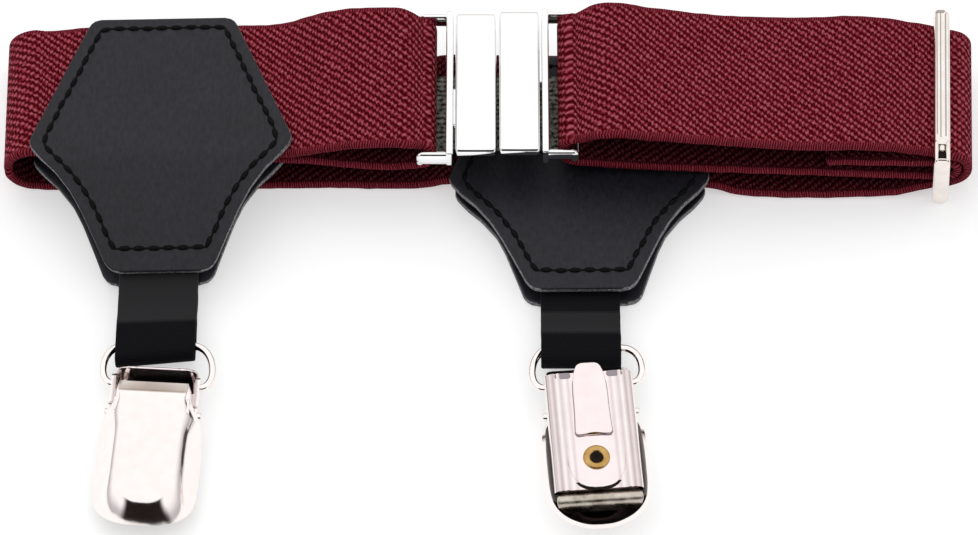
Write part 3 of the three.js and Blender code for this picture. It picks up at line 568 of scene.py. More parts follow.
def strap_rows():
    """The strap's route: rows of x and z of the near edge, lift of the far edge, y of the near edge, and
    skew, which is how far along x the far edge is set ahead."""
    return np.vstack([
        [(-66, PATCH_A_END_Z, 0, 1.1, 0), (-31, PATCH_A_END_Z, 0, 1.1, 0), (-26, 7.2, 0, 1.1, 0),
         (-22, 6.7, 0, 1.0, 0), (-17, 6.4, 0.3, 0.8, 0), (-13.4, 6.9, 0.3, 0.6, 0)],
        arc(WRAP_L, -90, 90, 8, 0.2, 0.5),
        [(-14, 13.0, 2.9, 0.6, 0), (-20, 12.7, 3.3, 0.7, 0), (-25.5, 11.4, 3.4, 0.9, 0),
         (-29, 10.2, 2.9, 1.0, 0), (-32, 9.65, 1.8, 1.0, 0), (-36, PATCH_A_STRAP_Z, 0.5, 1.1, 0),
         (-54, PATCH_A_STRAP_Z, 0, 1.2, 0),
         (-66, PATCH_A_STRAP_Z, -0.5, 1.2, -0.3), (-71.2, PATCH_A_STRAP_Z, -1.4, 1.2, -0.7)],
        arc(FOLD_L, 90, 180, 7, -1.2, 1.3, -0.8),
        arc(FOLD_L, 192, 270, 6, 0, 0.8, -0.8),
        [(-71.2, FLOOR_Z, 0, 0.7, -0.7), (-60, FLOOR_Z, 0, 0.7, 0), (-30, FLOOR_Z, 0, 1.0, 0),
         (-22, FLOOR_Z, 0, 1.0, 0), (-18, FLOOR_Z, 0, 0.9, 0), (-14, FLOOR_Z + 0.05, 0, 0.9, 0),
         (-10, 1.2, 0, 0.8, 0), (-7.2, 2.2, 0, 0.8, 0), (-3, PATCH_B_STRAP_Z, 0, 0.7, 0),
         (14, PATCH_B_STRAP_Z, 0, 0.5, 0), (32, PATCH_B_STRAP_Z, 0, 0.3, 0), (36.2, 2.2, 0, 0.0, 0),
         (39, 1.2, 0, -0.3, 0), (43, FLOOR_Z + 0.06, 0, -0.6, 0), (47, FLOOR_Z + 0.04, 0, -0.8, 0),
         (53, FLOOR_Z + 0.09, 0, -0.9, 0), (59, 0.9, 0, -0.8, 0), (65.5, 1.3, 0, -0.7, 0.8),
         (69.4, 2.2, 0, -0.3, 1.3)],
        arc(FOLD_R, -90, 90, 14, 0, 0.15, 1.4),
        [(68.4, 10.45, 0.5, 1.0, 1.2), (60, 12.0, 1.2, 0.8, 0), (50, 12.9, 0.7, 0.2, 0),
         (37, 14.6, -0.1, 0, 0), (27, 15.8, 0.6, 0, 0), (18.5, 16.2, 1.5, 0.3, 0)],
        arc(WRAP_R, 75, 270, 9, -0.1, 0.5),
        [(17, 7.8, -0.2, 0.5, 0), (26, 7.0, -0.2, 0.4, 0), (40, 6.3, -0.2, 0.3, 0), (56, 5.5, 0, 0.2, 0),
         (66, 4.85, 0, 0.2, 1.2)],
        arc(WRAP_S, -90, 90, 8, 0, 0.15, 1.4),
        [(66, 8.3, 0, 0.3, 1.2), (53.8, 8.5, 0, 0.4, 1.0)],
    ])


def strip(rows, width, thickness, steps, across, round_, edge_wobble):
    """Cloth strip on its route: at each place the far edge is lifted and set ahead of the near one, and both
    edges wander a little.

    Returns the band's grid, each point's place along and across in millimetres, and the strip's length.
    """
    t, length = evenly(rows[:, :2], steps)
    middle = catmull(rows[:, :2], t)
    lift, y, skew = catmull(rows[:, 2:], t).T
    run = np.linspace(0, length, steps + 1)
    x, z = middle.T
    near = np.column_stack([x, y + wobble(run, 7.0, edge_wobble), z])
    reach = np.sqrt(width ** 2 - lift ** 2)
    far = np.column_stack([x + skew, y + reach + wobble(run, 6.1, edge_wobble), z + lift])
    grid, out = band((near + far) / 2, far - near, width / 2, thickness, round_, across)
    places = run_lengths(grid[:, grid.shape[1] // 4])
    uv = np.stack([np.broadcast_to(places[:, None], out.shape), out + width / 2], axis=-1)
    return grid, uv.reshape(-1, 2), length


# Share of the strap's length past which it is the free tail, between two layers and painted in shade
TAIL_FROM = 0.955


def make_strap(face, back):
    """The strap: one strip from its sewn end to its free tail. Its back, and both faces of its tail, are a
    darker copy of the weave: painted shade.
    """
    grid, uv, length = strip(strap_rows(), STRAP_W, STRAP_T, 1000, 20, 0.55, 0.05)
    count = grid.shape[1]
    around = np.arange(count)
    is_back = (around >= SIDE_STEPS) & (around < count // 2 - SIDE_STEPS)
    either_face = is_back | is_back[::-1]
    is_tail = np.arange(len(grid) - 1)[:, None] > TAIL_FROM * len(grid)
    # Back faces, and both faces of the tail, take the darker copy: painted shade
    kinds = np.concatenate([np.where(is_tail, either_face, is_back).astype(int).ravel(), [0, 0]])
    strap = piece("elastic_webbing", [as_shell(grid)], [face, back], "loop", ["elastic_strap"], uv,
                  kinds)


# Leather patches. Their own (u, v): across, and up from the foot to the top. Outline's rows: v, half width
PATCH_OUTLINE = np.array([
    (-21.3, 6.4), (-20.9, 7.8), (-19.8, 8.8), (-16.3, 10.4), (-11.6, 12.6), (-8.4, 14.4), (-5.4, 16.7),
    (-3.3, 18.9), (-1.3, 20.5), (-0.2, 20.9), (0.9, 20.6), (22.2, 11.9), (23.0, 11.3), (23.4, 10.2),
])
PATCHES = {
    "a": dict(x=-52.3, y=3.0, turn=1.3, bend=-3.2, front=10.75, front_low=4.95, back=5.6, back_low=1.1,
              wider=(0.1, -0.7), slip=(-0.5, 0)),
    "b": dict(x=14.5, y=0.5, turn=0.6, bend=-1.6, front=3.7, front_low=3.7, back=0.0, back_low=0.0,
              wider=(0.7, -0.7), slip=(0.2, -0.4)),
}
PATCH_FOOT, PATCH_TOP = -21.3, 23.4
FINE_V = np.arange(PATCH_FOOT, PATCH_TOP + 0.01, 0.05)
SAG = 0.25
# A back leather's extra half width runs from its first value to its second between these v
WIDER_OVER = (-20.5, -9.0)
SEAM_INSET, SEAM_FOOT, SEAM_TOP = 2.3, -17.9, 21.4
STITCH_PITCH, STITCH_LONG, THREAD_R = 2.35, 1.95, 0.45
# Points of the seam's line in each stitch
STITCH_STEPS = 24
# Depth and reach of the hollow along the seam and of the one at each hole
SEAM_PRESS, HOLE_PRESS = (0.20, 0.75), (0.16, 0.5)
# Depth of a stitch's ends, and of the lower thread
STITCH_SINK, UNDER_SINK = 0.34, 0.14


def patch_half(v):
    """Half width of a patch at v: straight runs between the outline's rows, slightly rounded at corners."""
    return np.interp(v, FINE_V, smoothed(np.interp(FINE_V, *PATCH_OUTLINE.T), 13))


def patch_height(patch, layer, v):
    """Underside of a leather at v: level over the strap, then falling along a shallow curve to its foot."""
    high, low = patch[layer], patch[f"{layer}_low"]
    down = np.clip((patch["bend"] - FINE_V) / (patch["bend"] - FINE_V[0]), 0, 1)
    level = smoothed(high + (low - high) * (SAG * down ** 2 + (1 - SAG) * down), 41)
    return np.interp(v, FINE_V, level)


def patch_place(patch, slip=(0, 0)):
    """Turns a patch's own (u, v, z), slipped a little in u and v, to the layout and places it in the frame."""
    turn = about_z(patch["turn"])
    return lambda points: placed((points + [*slip, 0]) @ turn.T + [patch["x"], patch["y"], 0])


def seam_path():
    """The seam's closed line in (u, v): the outline less the inset, and straight across its foot and top."""
    v = np.linspace(SEAM_FOOT, SEAM_TOP, 60)
    right = np.column_stack([patch_half(v) - SEAM_INSET, v])
    left = right[::-1] * [-1, 1]
    line = np.vstack([right, left, right[:1]])
    run = run_lengths(line)
    count = round(run[-1] / STITCH_PITCH) * STITCH_STEPS
    at = np.linspace(0, run[-1], count, endpoint=False)
    return np.column_stack([np.interp(at, run, line[:, 0]), np.interp(at, run, line[:, 1])])


def hollow(points, line, depth, reach):
    """Depth at each of the points of a soft hollow along the line's points."""
    distance = np.concatenate([np.linalg.norm(part[:, None] - line[None], axis=2).min(axis=1)
                               for part in np.array_split(points, 40)])
    return depth * np.exp(-(distance / reach) ** 2)


def make_leather(mark, patch, layer, seam, leather, edge):
    """One leather: the outline's half width carried along v on its height line.

    The front one's upper face is pressed in along the seam. The back one differs a little in width, and has
    slipped a little.
    """
    is_front = layer == "front"
    v = np.linspace(PATCH_FOOT, PATCH_TOP, 112)
    z = patch_height(patch, layer, v) + LEATHER_T / 2
    centre = np.column_stack([np.zeros_like(v), v, z])
    side = np.broadcast_to([1.0, 0.0, 0.0], centre.shape)
    wider = np.interp(v, WIDER_OVER, (0, 0) if is_front else patch["wider"])
    grid, _ = band(centre, side, patch_half(v) + wider, LEATHER_T, 0.32, 96)
    count = grid.shape[1]
    around = np.arange(count)
    if is_front:
        flat = grid[..., :2].reshape(-1, 2)
        holes = seam[STITCH_STEPS - 2::STITCH_STEPS]
        press = hollow(flat, seam, *SEAM_PRESS) + hollow(flat, holes, *HOLE_PRESS)
        upper = np.tile(around < count // 2, len(grid))
        grid[..., 2] -= (press * upper).reshape(grid.shape[:2])
    shell = as_shell(grid, patch_place(patch, (0, 0) if is_front else patch["slip"]))
    half = count // 2
    is_edge = np.isin(around, [0, 1, half - 2, half - 1, half, half + 1, count - 2, count - 1])
    kinds = np.concatenate([np.tile(is_edge, len(grid) - 1).astype(int), [1, 1]])
    piece(f"leather_{layer}_{mark}", [shell], [leather, edge], "loop", [f"patch_{mark}_{layer}"],
          kinds=kinds)


def make_stitches(mark, patch, seam, material):
    """Threads of the seam: short bowed tubes from hole to hole, and the lower thread shown between them."""
    def on_face(flat):
        """Height of the front leather's upper face at (u, v) points."""
        return patch_height(patch, "front", flat[:, 1]) + LEATHER_T

    place = patch_place(patch)
    reach = int(STITCH_STEPS * STITCH_LONG / STITCH_PITCH)
    share = np.linspace(0, 1, 7)
    bow = np.sin(math.pi * share)
    shells = []
    for start in range(0, len(seam), STITCH_STEPS):
        a, b = seam[start], seam[(start + reach) % len(seam)]
        slip = rng.uniform(-0.08, 0.08, 2)
        flat = a[None] + (b - a)[None] * share[:, None] + slip
        z = on_face(flat) - STITCH_SINK + STITCH_SINK * bow ** 0.6
        radius = THREAD_R * (0.55 + 0.45 * bow ** 0.5)
        shells.append(as_shell(tube(np.column_stack([flat, z]), radius, 8), place))
    under = np.vstack([seam, seam[:1]])[::6]
    z = on_face(under) - UNDER_SINK
    shells.append(as_shell(tube(np.column_stack([under, z]), THREAD_R * 0.6, 6), place))
    piece(f"seam_stitches_{mark}", shells, [material], "loop")


# Rings and ribbons
RING_Z, RING_REACH = 3.4, 7.2
SIDES = {
    "a": dict(x=-51.8, y=-37.6, turn=-3.4, up=True, bar_z=3.3, ribbon_x=-52.2, past=2.0, askew=-1.3,
              lower=[(-11, 5.5), (-15, 4.3), (-18.5, 3.2), (-21.5, 2.7)]),
    "b": dict(x=15.4, y=-38.0, turn=4.2, up=False, bar_z=3.4, ribbon_x=14.4, past=1.75, askew=0,
              lower=[(-13, 2.0), (-17, 2.0), (-21.5, 2.0)]),
}
RING_HALF = np.array([
    (6.35, 0), (7.3, 0.05), (8.05, 0.7), (8.5, 1.9), (8.55, 3.4), (8.15, 5.1), (7.3, 6.4), (6.3, 7.05),
    (5.2, RING_REACH), (2.6, RING_REACH),
])
RIBBON_FOLD = dict(apart=0.2, taper=4.0, open=0.85)


def ring_end_height(side):
    """Height of the ring's ends: they stand in the clip, which lies either way up."""
    return RING_Z if side["up"] else CLIP_H - RING_Z


def make_ring(mark, side, material):
    """Ring: bent wire through the half's points and their mirror, tilted from its bar down to the clip."""
    end_z = ring_end_height(side)
    rise = side["bar_z"] - end_z
    flat = math.sqrt(RING_REACH ** 2 - rise ** 2) / RING_REACH
    both = np.vstack([RING_HALF * [-1, 1], RING_HALF[::-1]])
    share = both[:, 1] / RING_REACH
    angle = math.radians(side["turn"]) * (1 - share)
    x, y = both[:, 0], both[:, 1] * flat
    points = np.column_stack([x * np.cos(angle) - y * np.sin(angle), x * np.sin(angle) + y * np.cos(angle),
                              end_z + rise * share])
    t, _ = evenly(points, 140)
    grid = tube(catmull(points, t) + [side["x"], side["y"], 0], WIRE_R, 16)
    piece(f"wire_ring_{mark}", [as_shell(grid)], [material], "loop", [f"ring_{mark}"])


def make_ribbon(mark, side, material):
    """Ribbon: two layers between the leathers that run on round the ring's bar."""
    inside = RIBBON_T / 2 + WIRE_R + GAP
    bar_y = side["y"] + math.sqrt(RING_REACH ** 2 - (side["bar_z"] - ring_end_height(side)) ** 2)
    near = -RIBBON_W / 2
    fold = (side["past"] - bar_y, side["bar_z"], inside, inside)
    apart = RIBBON_T + RIBBON_FOLD["apart"]
    taper = fold[0] - RIBBON_FOLD["taper"]
    opened = inside * RIBBON_FOLD["open"]
    lower = np.array([(-y, z, 0, near, 0) for y, z in side["lower"]])
    rows = np.vstack([
        lower + [0, apart, 0, 0, 0],
        [(taper, side["bar_z"] + opened, 0, near, side["askew"] / 2)],
        arc(fold, 90, -90, 8, 0, near, side["askew"]),
        [(taper, side["bar_z"] - opened, 0, near, side["askew"] / 2)],
        lower[::-1],
    ])
    grid, uv, length = strip(rows, RIBBON_W, RIBBON_T, 260, 14, 0.3, 0.03)
    uv = uv - [length / 2, 0]
    grid = np.stack([grid[..., 1] + side["ribbon_x"], -grid[..., 0], grid[..., 2]], axis=-1)
    ribbon = piece(f"nylon_ribbon_{mark}", [as_shell(grid)], [material], "loop", [f"ribbon_{mark}"],
                   uv)


# Clips. Their own (u, v, w): across, from the ring's ends to the nose, and from the lowest face to the top
HALF, FACE, LONG = 6.9, 0.65, 19.85
PIVOT_V, PIVOT_W, PIN_R, PIN_END = 5.2, 3.4, 0.65, 0.75
EAR = 1.6
EYELET_V = 14.5
PLATE_START = -0.8
INNER = HALF - PLATE_T
JAW_W = FACE + PLATE_T + GAP


def clip_place(side):
    """Places clip points (u, v, w) in the frame: turned about Z, and rolled over if the clip lies back up."""
    turn = about_z(side["turn"])
    roll = np.diag([1.0, 1.0, 1.0]) if side["up"] else np.diag([-1.0, 1.0, -1.0])
    lifted = [side["x"], side["y"], 0 if side["up"] else CLIP_H]
    return lambda uvw: placed((np.asarray(uvw) * [1, -1, 1]) @ roll.T @ turn.T + lifted)


# Painted reflection streaks along the back plate: place across and shade
PAINTED_STREAKS = [(0.0, "#fdf7fa"), (2.9, "#fdf7fa"), (3.3, "#e6dce2"), (3.8, "#ffffff"), (4.5, "#e0d6dc"),
           (5.0, "#ffffff"), (5.55, "#c9bfc1"), (6.0, "#efe9ea"), (6.35, "#cdc4c5"), (6.75, "#ffffff")]
# Pressed ribs beside the bends: place across and height
RIBS = [(4.75, 0.20), (5.55, 0.14)]
RIB_WIDE = 0.22


def wall_top(v):
    """Height of the clip's sides at v: round ears at the ring's holes and the pins, then low walls."""
    low = FACE + PLATE_T + 0.5
    base = np.interp(v, [6.8, 7.6, LONG], [PIVOT_W, low, low])
    ring_ear = RING_Z + np.sqrt(np.clip(EAR ** 2 - v ** 2, 0, None))
    pin_ear = PIVOT_W + np.sqrt(np.clip(EAR ** 2 - (v - PIVOT_V) ** 2, 0, None))
    bridge = np.interp(v, [1.23, 3.81], [4.43, 4.2])
    top = np.where(v < 1.23, ring_ear, np.where(v < 3.81, bridge, np.where(v < 6.8, pin_ear, base)))
    return np.clip(top, low, None)


def channel(to_place):
    """Back plate with its sides: a sheet bent up along both edges, its walls as high as wall_top says.

    The section runs down one wall, round a 1.1 mm bend, across the plate and up the other wall, with two
    pressed ribs beside each bend. The inner face follows at the sheet's thickness.
    """
    rows, wall_rows = 90, 10
    s = np.linspace(0, 1, rows)[:, None]
    bend, turn = 1.1, np.linspace(0, math.pi / 2, 6)
    wall = np.linspace(1, 0, wall_rows)
    flat = np.linspace(-1, 1, 101)

    def face(offset, rib_share):
        """Places across, heights without the walls, and shares of the walls' height, of one face."""
        radius = bend - offset
        u_bend = HALF - offset - radius + radius * np.cos(turn)
        w_bend = FACE + offset + radius - radius * np.sin(turn)
        u_flat = flat * (HALF - offset - radius)
        ribs = sum(size * np.exp(-((np.abs(u_flat) - place) / RIB_WIDE) ** 2) for place, size in RIBS)
        w_flat = FACE + offset - ribs * rib_share
        wall_u, wall_w = np.full(wall_rows, HALF - offset), np.full(wall_rows, FACE + bend)
        u = np.concatenate([wall_u, u_bend[1:], u_flat[::-1][1:-1], -u_bend[::-1][:-1], -wall_u])
        w = np.concatenate([wall_w, w_bend[1:], w_flat[1:-1], w_bend[::-1][:-1], wall_w])
        share = np.concatenate([wall, np.zeros(len(u) - 2 * wall_rows), wall[::-1]])
        return u, w, share

    u, w, share = (np.concatenate([outer, inner[::-1]])
                   for outer, inner in zip(face(0.0, 1.0), face(PLATE_T, 0.3)))
    start = PLATE_START - 0.8 * np.sqrt(share)[None]
    v = start + (LONG - start) * s
    top = wall_top(v)
    height = w[None] + (top - (FACE + bend)) * share[None]
    grid = np.stack([np.broadcast_to(u, v.shape), v, height], axis=-1)
    return as_shell(grid, to_place, sheet=True)


def pressed_band(path, half, thickness, to_place, round_=0.16, steps=36, across=14, bow=None):
    """Pressed strip of sheet on a path of (v, w) points, with half widths read along it.

    bow, where given, moves the grid's points before they are placed.
    """
    path = np.asarray(path, float)
    t, _ = evenly(path, steps)
    line = catmull(path, t)
    widths = np.interp(t, np.linspace(0, 1, len(half)), half)
    centre = np.column_stack([np.zeros(len(line)), line])
    side = np.broadcast_to([1.0, 0.0, 0.0], centre.shape)
    grid, _ = band(centre, side, widths, thickness, round_, across)
    if bow:
        grid = bow(grid)
    return as_shell(grid, to_place)


def hollow_foot(grid):
    """Draws the tongue's foot in over its middle, which leaves a rounded corner at both sides."""
    u, v = grid[..., 0], grid[..., 1]
    drawn = 0.3 * np.exp(-(u / 1.3) ** 2) * np.clip((v - 8.0) / 2.3, 0, 1)
    return grid - np.stack([np.zeros_like(u), drawn, np.zeros_like(u)], axis=-1)


TONGUE = dict(v=np.array([-2.3, -2.1, -1.5, -0.6, 1.0, 3.0, 5.0, 7.0, 9.0, 10.0, 10.5]),
              half=np.array([1.2, 1.6, 2.0, 2.3, 2.55, 2.65, 2.65, 2.7, 2.8, 2.85, 2.5]))
LOBE = dict(v=np.array([13.0, 15.2, 16.5, 17.4, 18.2, 18.9, 19.4, 19.65]),
            half=np.array([4.5, 4.4, 4.2, 3.9, 3.4, 2.8, 1.95, 0.9]))
SLIT = 0.12


def make_clip_body(mark, side, metal, shade, half_lit):
    """Clip's body: channel, lobe, tongue and end ramp.

    The slit that the tongue was cut free by and the two notches at the plate's end are half lit, and the slot
    under the lobe's step lies in deep shade.
    """
    place = clip_place(side)
    end = [(0.5, 1.0), (-0.1, 1.1), (-0.75, 1.6), (-1.6, 2.5), (-2.4, 3.3), (-2.8, 3.7), (-3.0, 3.9)]
    end_half = [6.2, 6.3, 6.5, 6.5, 6.45, 6.3, 5.9, 5.0]
    below = FACE - 0.02
    lobe = [(v, 0.70 + 0.3 * np.clip((15.2 - v) / 2, 0, 1)) for v in LOBE["v"]]
    slit = [(v + SLIT * 0.4, below) for v in np.clip(TONGUE["v"], 0.2, None) + np.arange(11) * 0.01]
    slot = [(v + SLIT * 3.2, below) for v in LOBE["v"][4:]]
    shells = [
        channel(place),
        pressed_band([(v, 0.42) for v in TONGUE["v"]], TONGUE["half"], 0.55, place, bow=hollow_foot),
        pressed_band(lobe, LOBE["half"], 0.5, place),
        pressed_band(end, end_half, 0.5, place, 0.2),
        pressed_band(slit, TONGUE["half"] + SLIT, 0.1, place, 0.04, bow=hollow_foot),
        pressed_band(slot, LOBE["half"][4:] + SLIT, 0.1, place, 0.04),
    ]
    for low, high in ((-5.3, -2.75), (2.75, 5.3)):
        notch = rounded_block([low, PLATE_START - 0.06, below - 0.06],
                              [high, PLATE_START + 0.95, below + 0.06], [0.5, 0.6, 0.05])
        shells.append(as_shell(notch, place))
    body = piece(f"clip_body_{mark}", shells, [metal, shade, half_lit], f"clip_{mark}",
                 [f"clip_{mark}_body"], kinds=by_shell(shells, [0, 0, 0, 0, 2, 1, 2, 2]))
    crisp(body, 50)


def make_clip_jaw(mark, side, material):
    """Inner jaw plate, and the curled lip that stands past the back plate's end."""
    place = clip_place(side)
    w = JAW_W + PLATE_T / 2
    path = [(8.2, w), (12, w), (16, w), (19.0, w), (LONG + 0.25, w - 0.1), (LONG + 0.65, w - 0.65),
            (LONG + 1.15, w - 1.0), (LONG + 1.7, w - 0.65), (LONG + 1.95, w + 0.3), (LONG + 1.9, w + 1.4),
            (LONG + 1.65, w + 2.3)]
    half = [5.7, 5.7, 5.7, 5.7, 5.75, 6.35, 6.6, 6.6, 6.4, 6.2, 6.0]
    plate = pressed_band(path, half, 0.55, place, 0.2, 80)
    jaw = piece(f"clip_jaw_{mark}", [plate], [material], f"clip_{mark}", [f"clip_{mark}_jaw"])
    crisp(jaw, 50)


# Cover's rim: v, half width, height of the rim, height of the top
COVER_ROWS = np.array([
    (0.9, 5.5, 5.3, 6.2), (1.7, 5.75, 5.4, 6.55), (2.6, 5.85, 5.4, 6.95), (3.4, 5.9, 5.4, 7.3),
    (4.2, 6.1, 5.3, 7.46), (5.2, 6.7, 5.0, 7.5), (6.6, 7.4, 4.3, 7.5), (8.0, 7.8, 3.4, 7.5),
    (9.6, 7.95, 2.7, 7.5), (12.6, 8.1, 2.3, 7.5), (16.0, 8.1, 2.3, 7.5), (19.0, 8.0, 2.35, 7.5),
    (21.0, 7.65, 2.5, 7.5), (22.4, 6.9, 2.8, 7.5), (23.6, 5.6, 3.2, 7.5), (24.4, 4.0, 3.55, 7.5),
    (24.9, 2.1, 3.8, 7.5), (25.0, 0.0, 3.9, 7.5),
])
# Its flat panel: v and half width
PANEL_ROWS = np.array([
    (1.0, 5.3), (1.8, 5.35), (2.7, 5.3), (3.5, 5.05), (4.3, 4.6), (5.3, 4.1), (6.6, 3.75), (8.0, 3.6),
    (9.6, 3.6), (12.6, 3.6), (15.6, 3.6), (17.6, 3.5), (19.0, 3.2), (20.0, 2.7), (20.7, 2.05), (21.1, 1.4),
    (21.3, 0.7), (21.35, 0.0),
])
SHOULDER = 0.43
COVER_T = 0.6
# Inside, this many of the grid's columns along either rim are painted bright as reflected light, up to this v
FLANK_COLUMNS, FLANK_V = 6, 20.5


def cover_grid():
    """Cover's outer face in (u, v, w), from the hinge's end to the nose, where a row's two halves meet.

    Across each row a curve leaves the panel level, aims SHOULDER of the way out and ends at the rim. That
    makes a soft shoulder and flared flanks. The panel between is crowned a little.
    """
    rows, flank_columns, panel_columns = 120, 22, 11
    t = np.linspace(0, 1, rows)
    outline, panel = catmull(COVER_ROWS, t), catmull(PANEL_ROWS, t)
    outline[-1, 1] = panel[-1, 1] = 0.0
    share = np.linspace(1, 0, flank_columns)[None]
    reach = 2 * share * (1 - share) * SHOULDER + share ** 2
    v = panel[:, :1] + (outline[:, :1] - panel[:, :1]) * reach
    u = panel[:, 1:] + (outline[:, 1:2] - panel[:, 1:]) * reach
    rim, top = outline[:, 2:3], outline[:, 3:4]
    w = top + (rim - top) * share ** 2
    inner = np.linspace(1, 0, panel_columns + 1)[None, 1:]
    u = np.hstack([u, panel[:, 1:] * inner])
    v = np.hstack([v, np.repeat(panel[:, :1], panel_columns, axis=1)])
    w = np.hstack([w, np.repeat(top, panel_columns, axis=1)])
    w = w - 0.12 * np.clip(np.abs(u) / 4, 0, 1) ** 2 * np.clip((v - 1) / 6, 0, 1)
    right = np.stack([u, v, w], axis=-1)
    return np.concatenate([right, right[:, ::-1][:, 1:] * [-1, 1, 1]], axis=1)


def inward(outer, thickness):
    """Grid that stands the thickness inside the cover's outer one, and meets in one line at the nose."""
    normal = np.cross(np.gradient(outer, axis=1), np.gradient(outer, axis=0))
    size = np.linalg.norm(normal, axis=-1, keepdims=True)
    normal = normal / np.maximum(size, 1e-9)
    middle = normal[len(normal) // 2, normal.shape[1] // 2, 2]
    normal[-1] = normal[-2]
    inside = outer - normal * math.copysign(thickness, middle)
    inside[-1, :, 0] = 0.0
    return inside


def sheet_shell(outer, inside, to_place):
    """Closed sheet between two grids, joined along its two long sides and its first row."""
    n, m = outer.shape[:2]
    i, j = np.meshgrid(np.arange(n - 1), np.arange(m - 1), indexing="ij")
    a = i * m + j
    quads = np.stack([a, a + 1, a + m + 1, a + m], axis=-1).reshape(-1, 4)
    shift = n * m
    first = np.arange(m - 1)
    joins = [np.stack([first, first + 1, first + 1 + shift, first + shift], axis=-1)]
    for edge in (np.arange(n - 1) * m, np.arange(n - 1) * m + m - 1):
        joins.append(np.stack([edge, edge + m, edge + m + shift, edge + shift], axis=-1))
    faces = np.vstack([quads, quads[:, ::-1] + shift, *joins]).tolist()
    return to_place(np.vstack([outer.reshape(-1, 3), inside.reshape(-1, 3)])), faces


def make_clip_cover(mark, side, metal, inside_painted_shade, flank_painted_light):
    """Domed lever with its two ears on the pins: inside, dark brown steel as painted shade, and pale steel as
    painted reflected light along its flanks.
    """
    place = clip_place(side)
    outer = cover_grid()
    shells = [sheet_shell(outer, inward(outer, COVER_T), place)]
    columns = np.arange(outer.shape[1] - 1)
    outermost = np.minimum(columns, columns[::-1]) < FLANK_COLUMNS
    flank = outermost & (outer[:-1, :1, 1] < FLANK_V)
    inside, past = INNER - GAP, HALF + PIN_END
    reach = np.array([inside - 0.6, inside - 0.3, past - 0.25, past - 0.08, past])
    pin = np.array([1.0, 1.0, 1.0, 0.8, 0.35]) * PIN_R
    ear, ear_half = 5.6, 0.3
    for sign in (-1, 1):
        path = np.column_stack([reach * sign, np.full(5, PIVOT_V), np.full(5, PIVOT_W)])
        shells.append(as_shell(tube(path, pin, 16), place))
        low = [sign * ear - ear_half, PIVOT_V - 1.3, PIVOT_W - 1.2]
        high = [sign * ear + ear_half, PIVOT_V + 1.3, 6.6]
        shells.append(as_shell(rounded_block(low, high, 0.28), place))
    kinds = by_shell(shells, [0] * 5)
    # Inner faces: painted light along the flanks, painted shade elsewhere
    kinds[flank.size:2 * flank.size] = np.where(flank, 2, 1).ravel()
    cover = piece(f"clip_cover_{mark}", shells, [metal, inside_painted_shade, flank_painted_light], f"clip_{mark}_lever",
                  [f"clip_{mark}_cover"], kinds=kinds, merge=0.02 * MM)
    crisp(cover, 60)


def make_eyelet(mark, side, metal, shade):
    """Eyelet: rolled rim on the back plate, barrel with its dark hole, and a small rim on the jaw plate."""
    top = JAW_W + PLATE_T + GAP
    # Radius and height, from the hole's inner end round the lower rim, up the barrel and round the upper rim
    profile = [(0.88, 0.9), (0.90, 0.45), (1.05, 0.2), (1.3, 0.04), (1.6, 0.0), (1.88, 0.08), (2.04, 0.24),
               (2.08, 0.42), (1.95, 0.55), (1.45, 0.55), (1.45, top), (1.9, top), (1.95, top + 0.15),
               (1.7, top + 0.32), (1.3, top + 0.35), (0.88, top + 0.15)]
    place = clip_place(side)

    def on_axis(points):
        """Places points that stand round the eyelet's own axis."""
        return place(np.column_stack([points[:, 0], EYELET_V + points[:, 1], points[:, 2]]))

    hole = [(0.02, 0.42), (0.96, 0.42), (0.96, 0.30), (0.86, 0.27), (0.75, 0.36), (0.02, 0.38)]
    shells = [turned(profile, 48, on_axis), turned(hole, 48, on_axis)]
    piece(f"brass_eyelet_{mark}", shells, [metal, shade], f"clip_{mark}", [f"clip_{mark}_eyelet"],
          kinds=by_shell(shells, [0, 1]))


# Clasp and slide
CLASP = {
    "left": dict(far=-11.6, near=-5.7, bar=1.2, plate=(-5.4, 1.2), low=9.9, high=12.9, bar_z=(9.1, 11.1),
                 top=14.0, arm=(5.5, 12.5), plate_y=-0.75, foot=0.0),
    "right": dict(far=14.3, near=8.45, bar=1.15, plate=(8.15, 1.6), low=10.6, high=13.6, bar_z=(10.1, 12.7),
                  top=14.6, arm=(13.3, 20.2), plate_y=-1.0, foot=0.8),
}
CLASP_Y = (-1.0, 27.0)
CLASP_END = 1.2


def make_clasp(name, part, material):
    """Half of the clasp: round-cornered frame with its strap bar and inner bar, hook arm and cover plate."""
    towards = math.copysign(1, part["near"] - part["far"])
    blocks = []

    def block(a, b, y0, y1, z0, z1, radius):
        """Adds a block from x = a to b, either of which may be the lower."""
        blocks.append(as_shell(rounded_block([min(a, b), y0, z0], [max(a, b), y1, z1], radius)))

    far, near, (start, end) = part["far"], part["near"], part["plate"]
    y0, y1 = CLASP_Y
    bottom, high, top = part["low"], part["high"], part["top"]
    block(far, far + towards * 1.25, y0 + 0.5, y1 - 0.5, *part["bar_z"], 0.55)
    for low, foot in ((y0, part["foot"]), (y1 - CLASP_END, 0)):
        block(far, near, low, low + CLASP_END, bottom + foot, high, [1.3, 0.58, 1.2])
    block(near - towards * part["bar"], near, y0, y1, bottom, high + 0.6, [0.35, 0.5, 0.4])
    block(near - towards * 0.3, end - towards * 0.2, *part["arm"], bottom + 0.8, bottom + 2.2, 0.3)
    block(start, end, part["plate_y"], y1 - 0.7, top - 2.2, top, [0.5, 1.0, 0.9])
    clasp = piece(f"clasp_half_{name}", blocks, [material], "loop", [f"clasp_{name}"])
    crisp(clasp, 60)


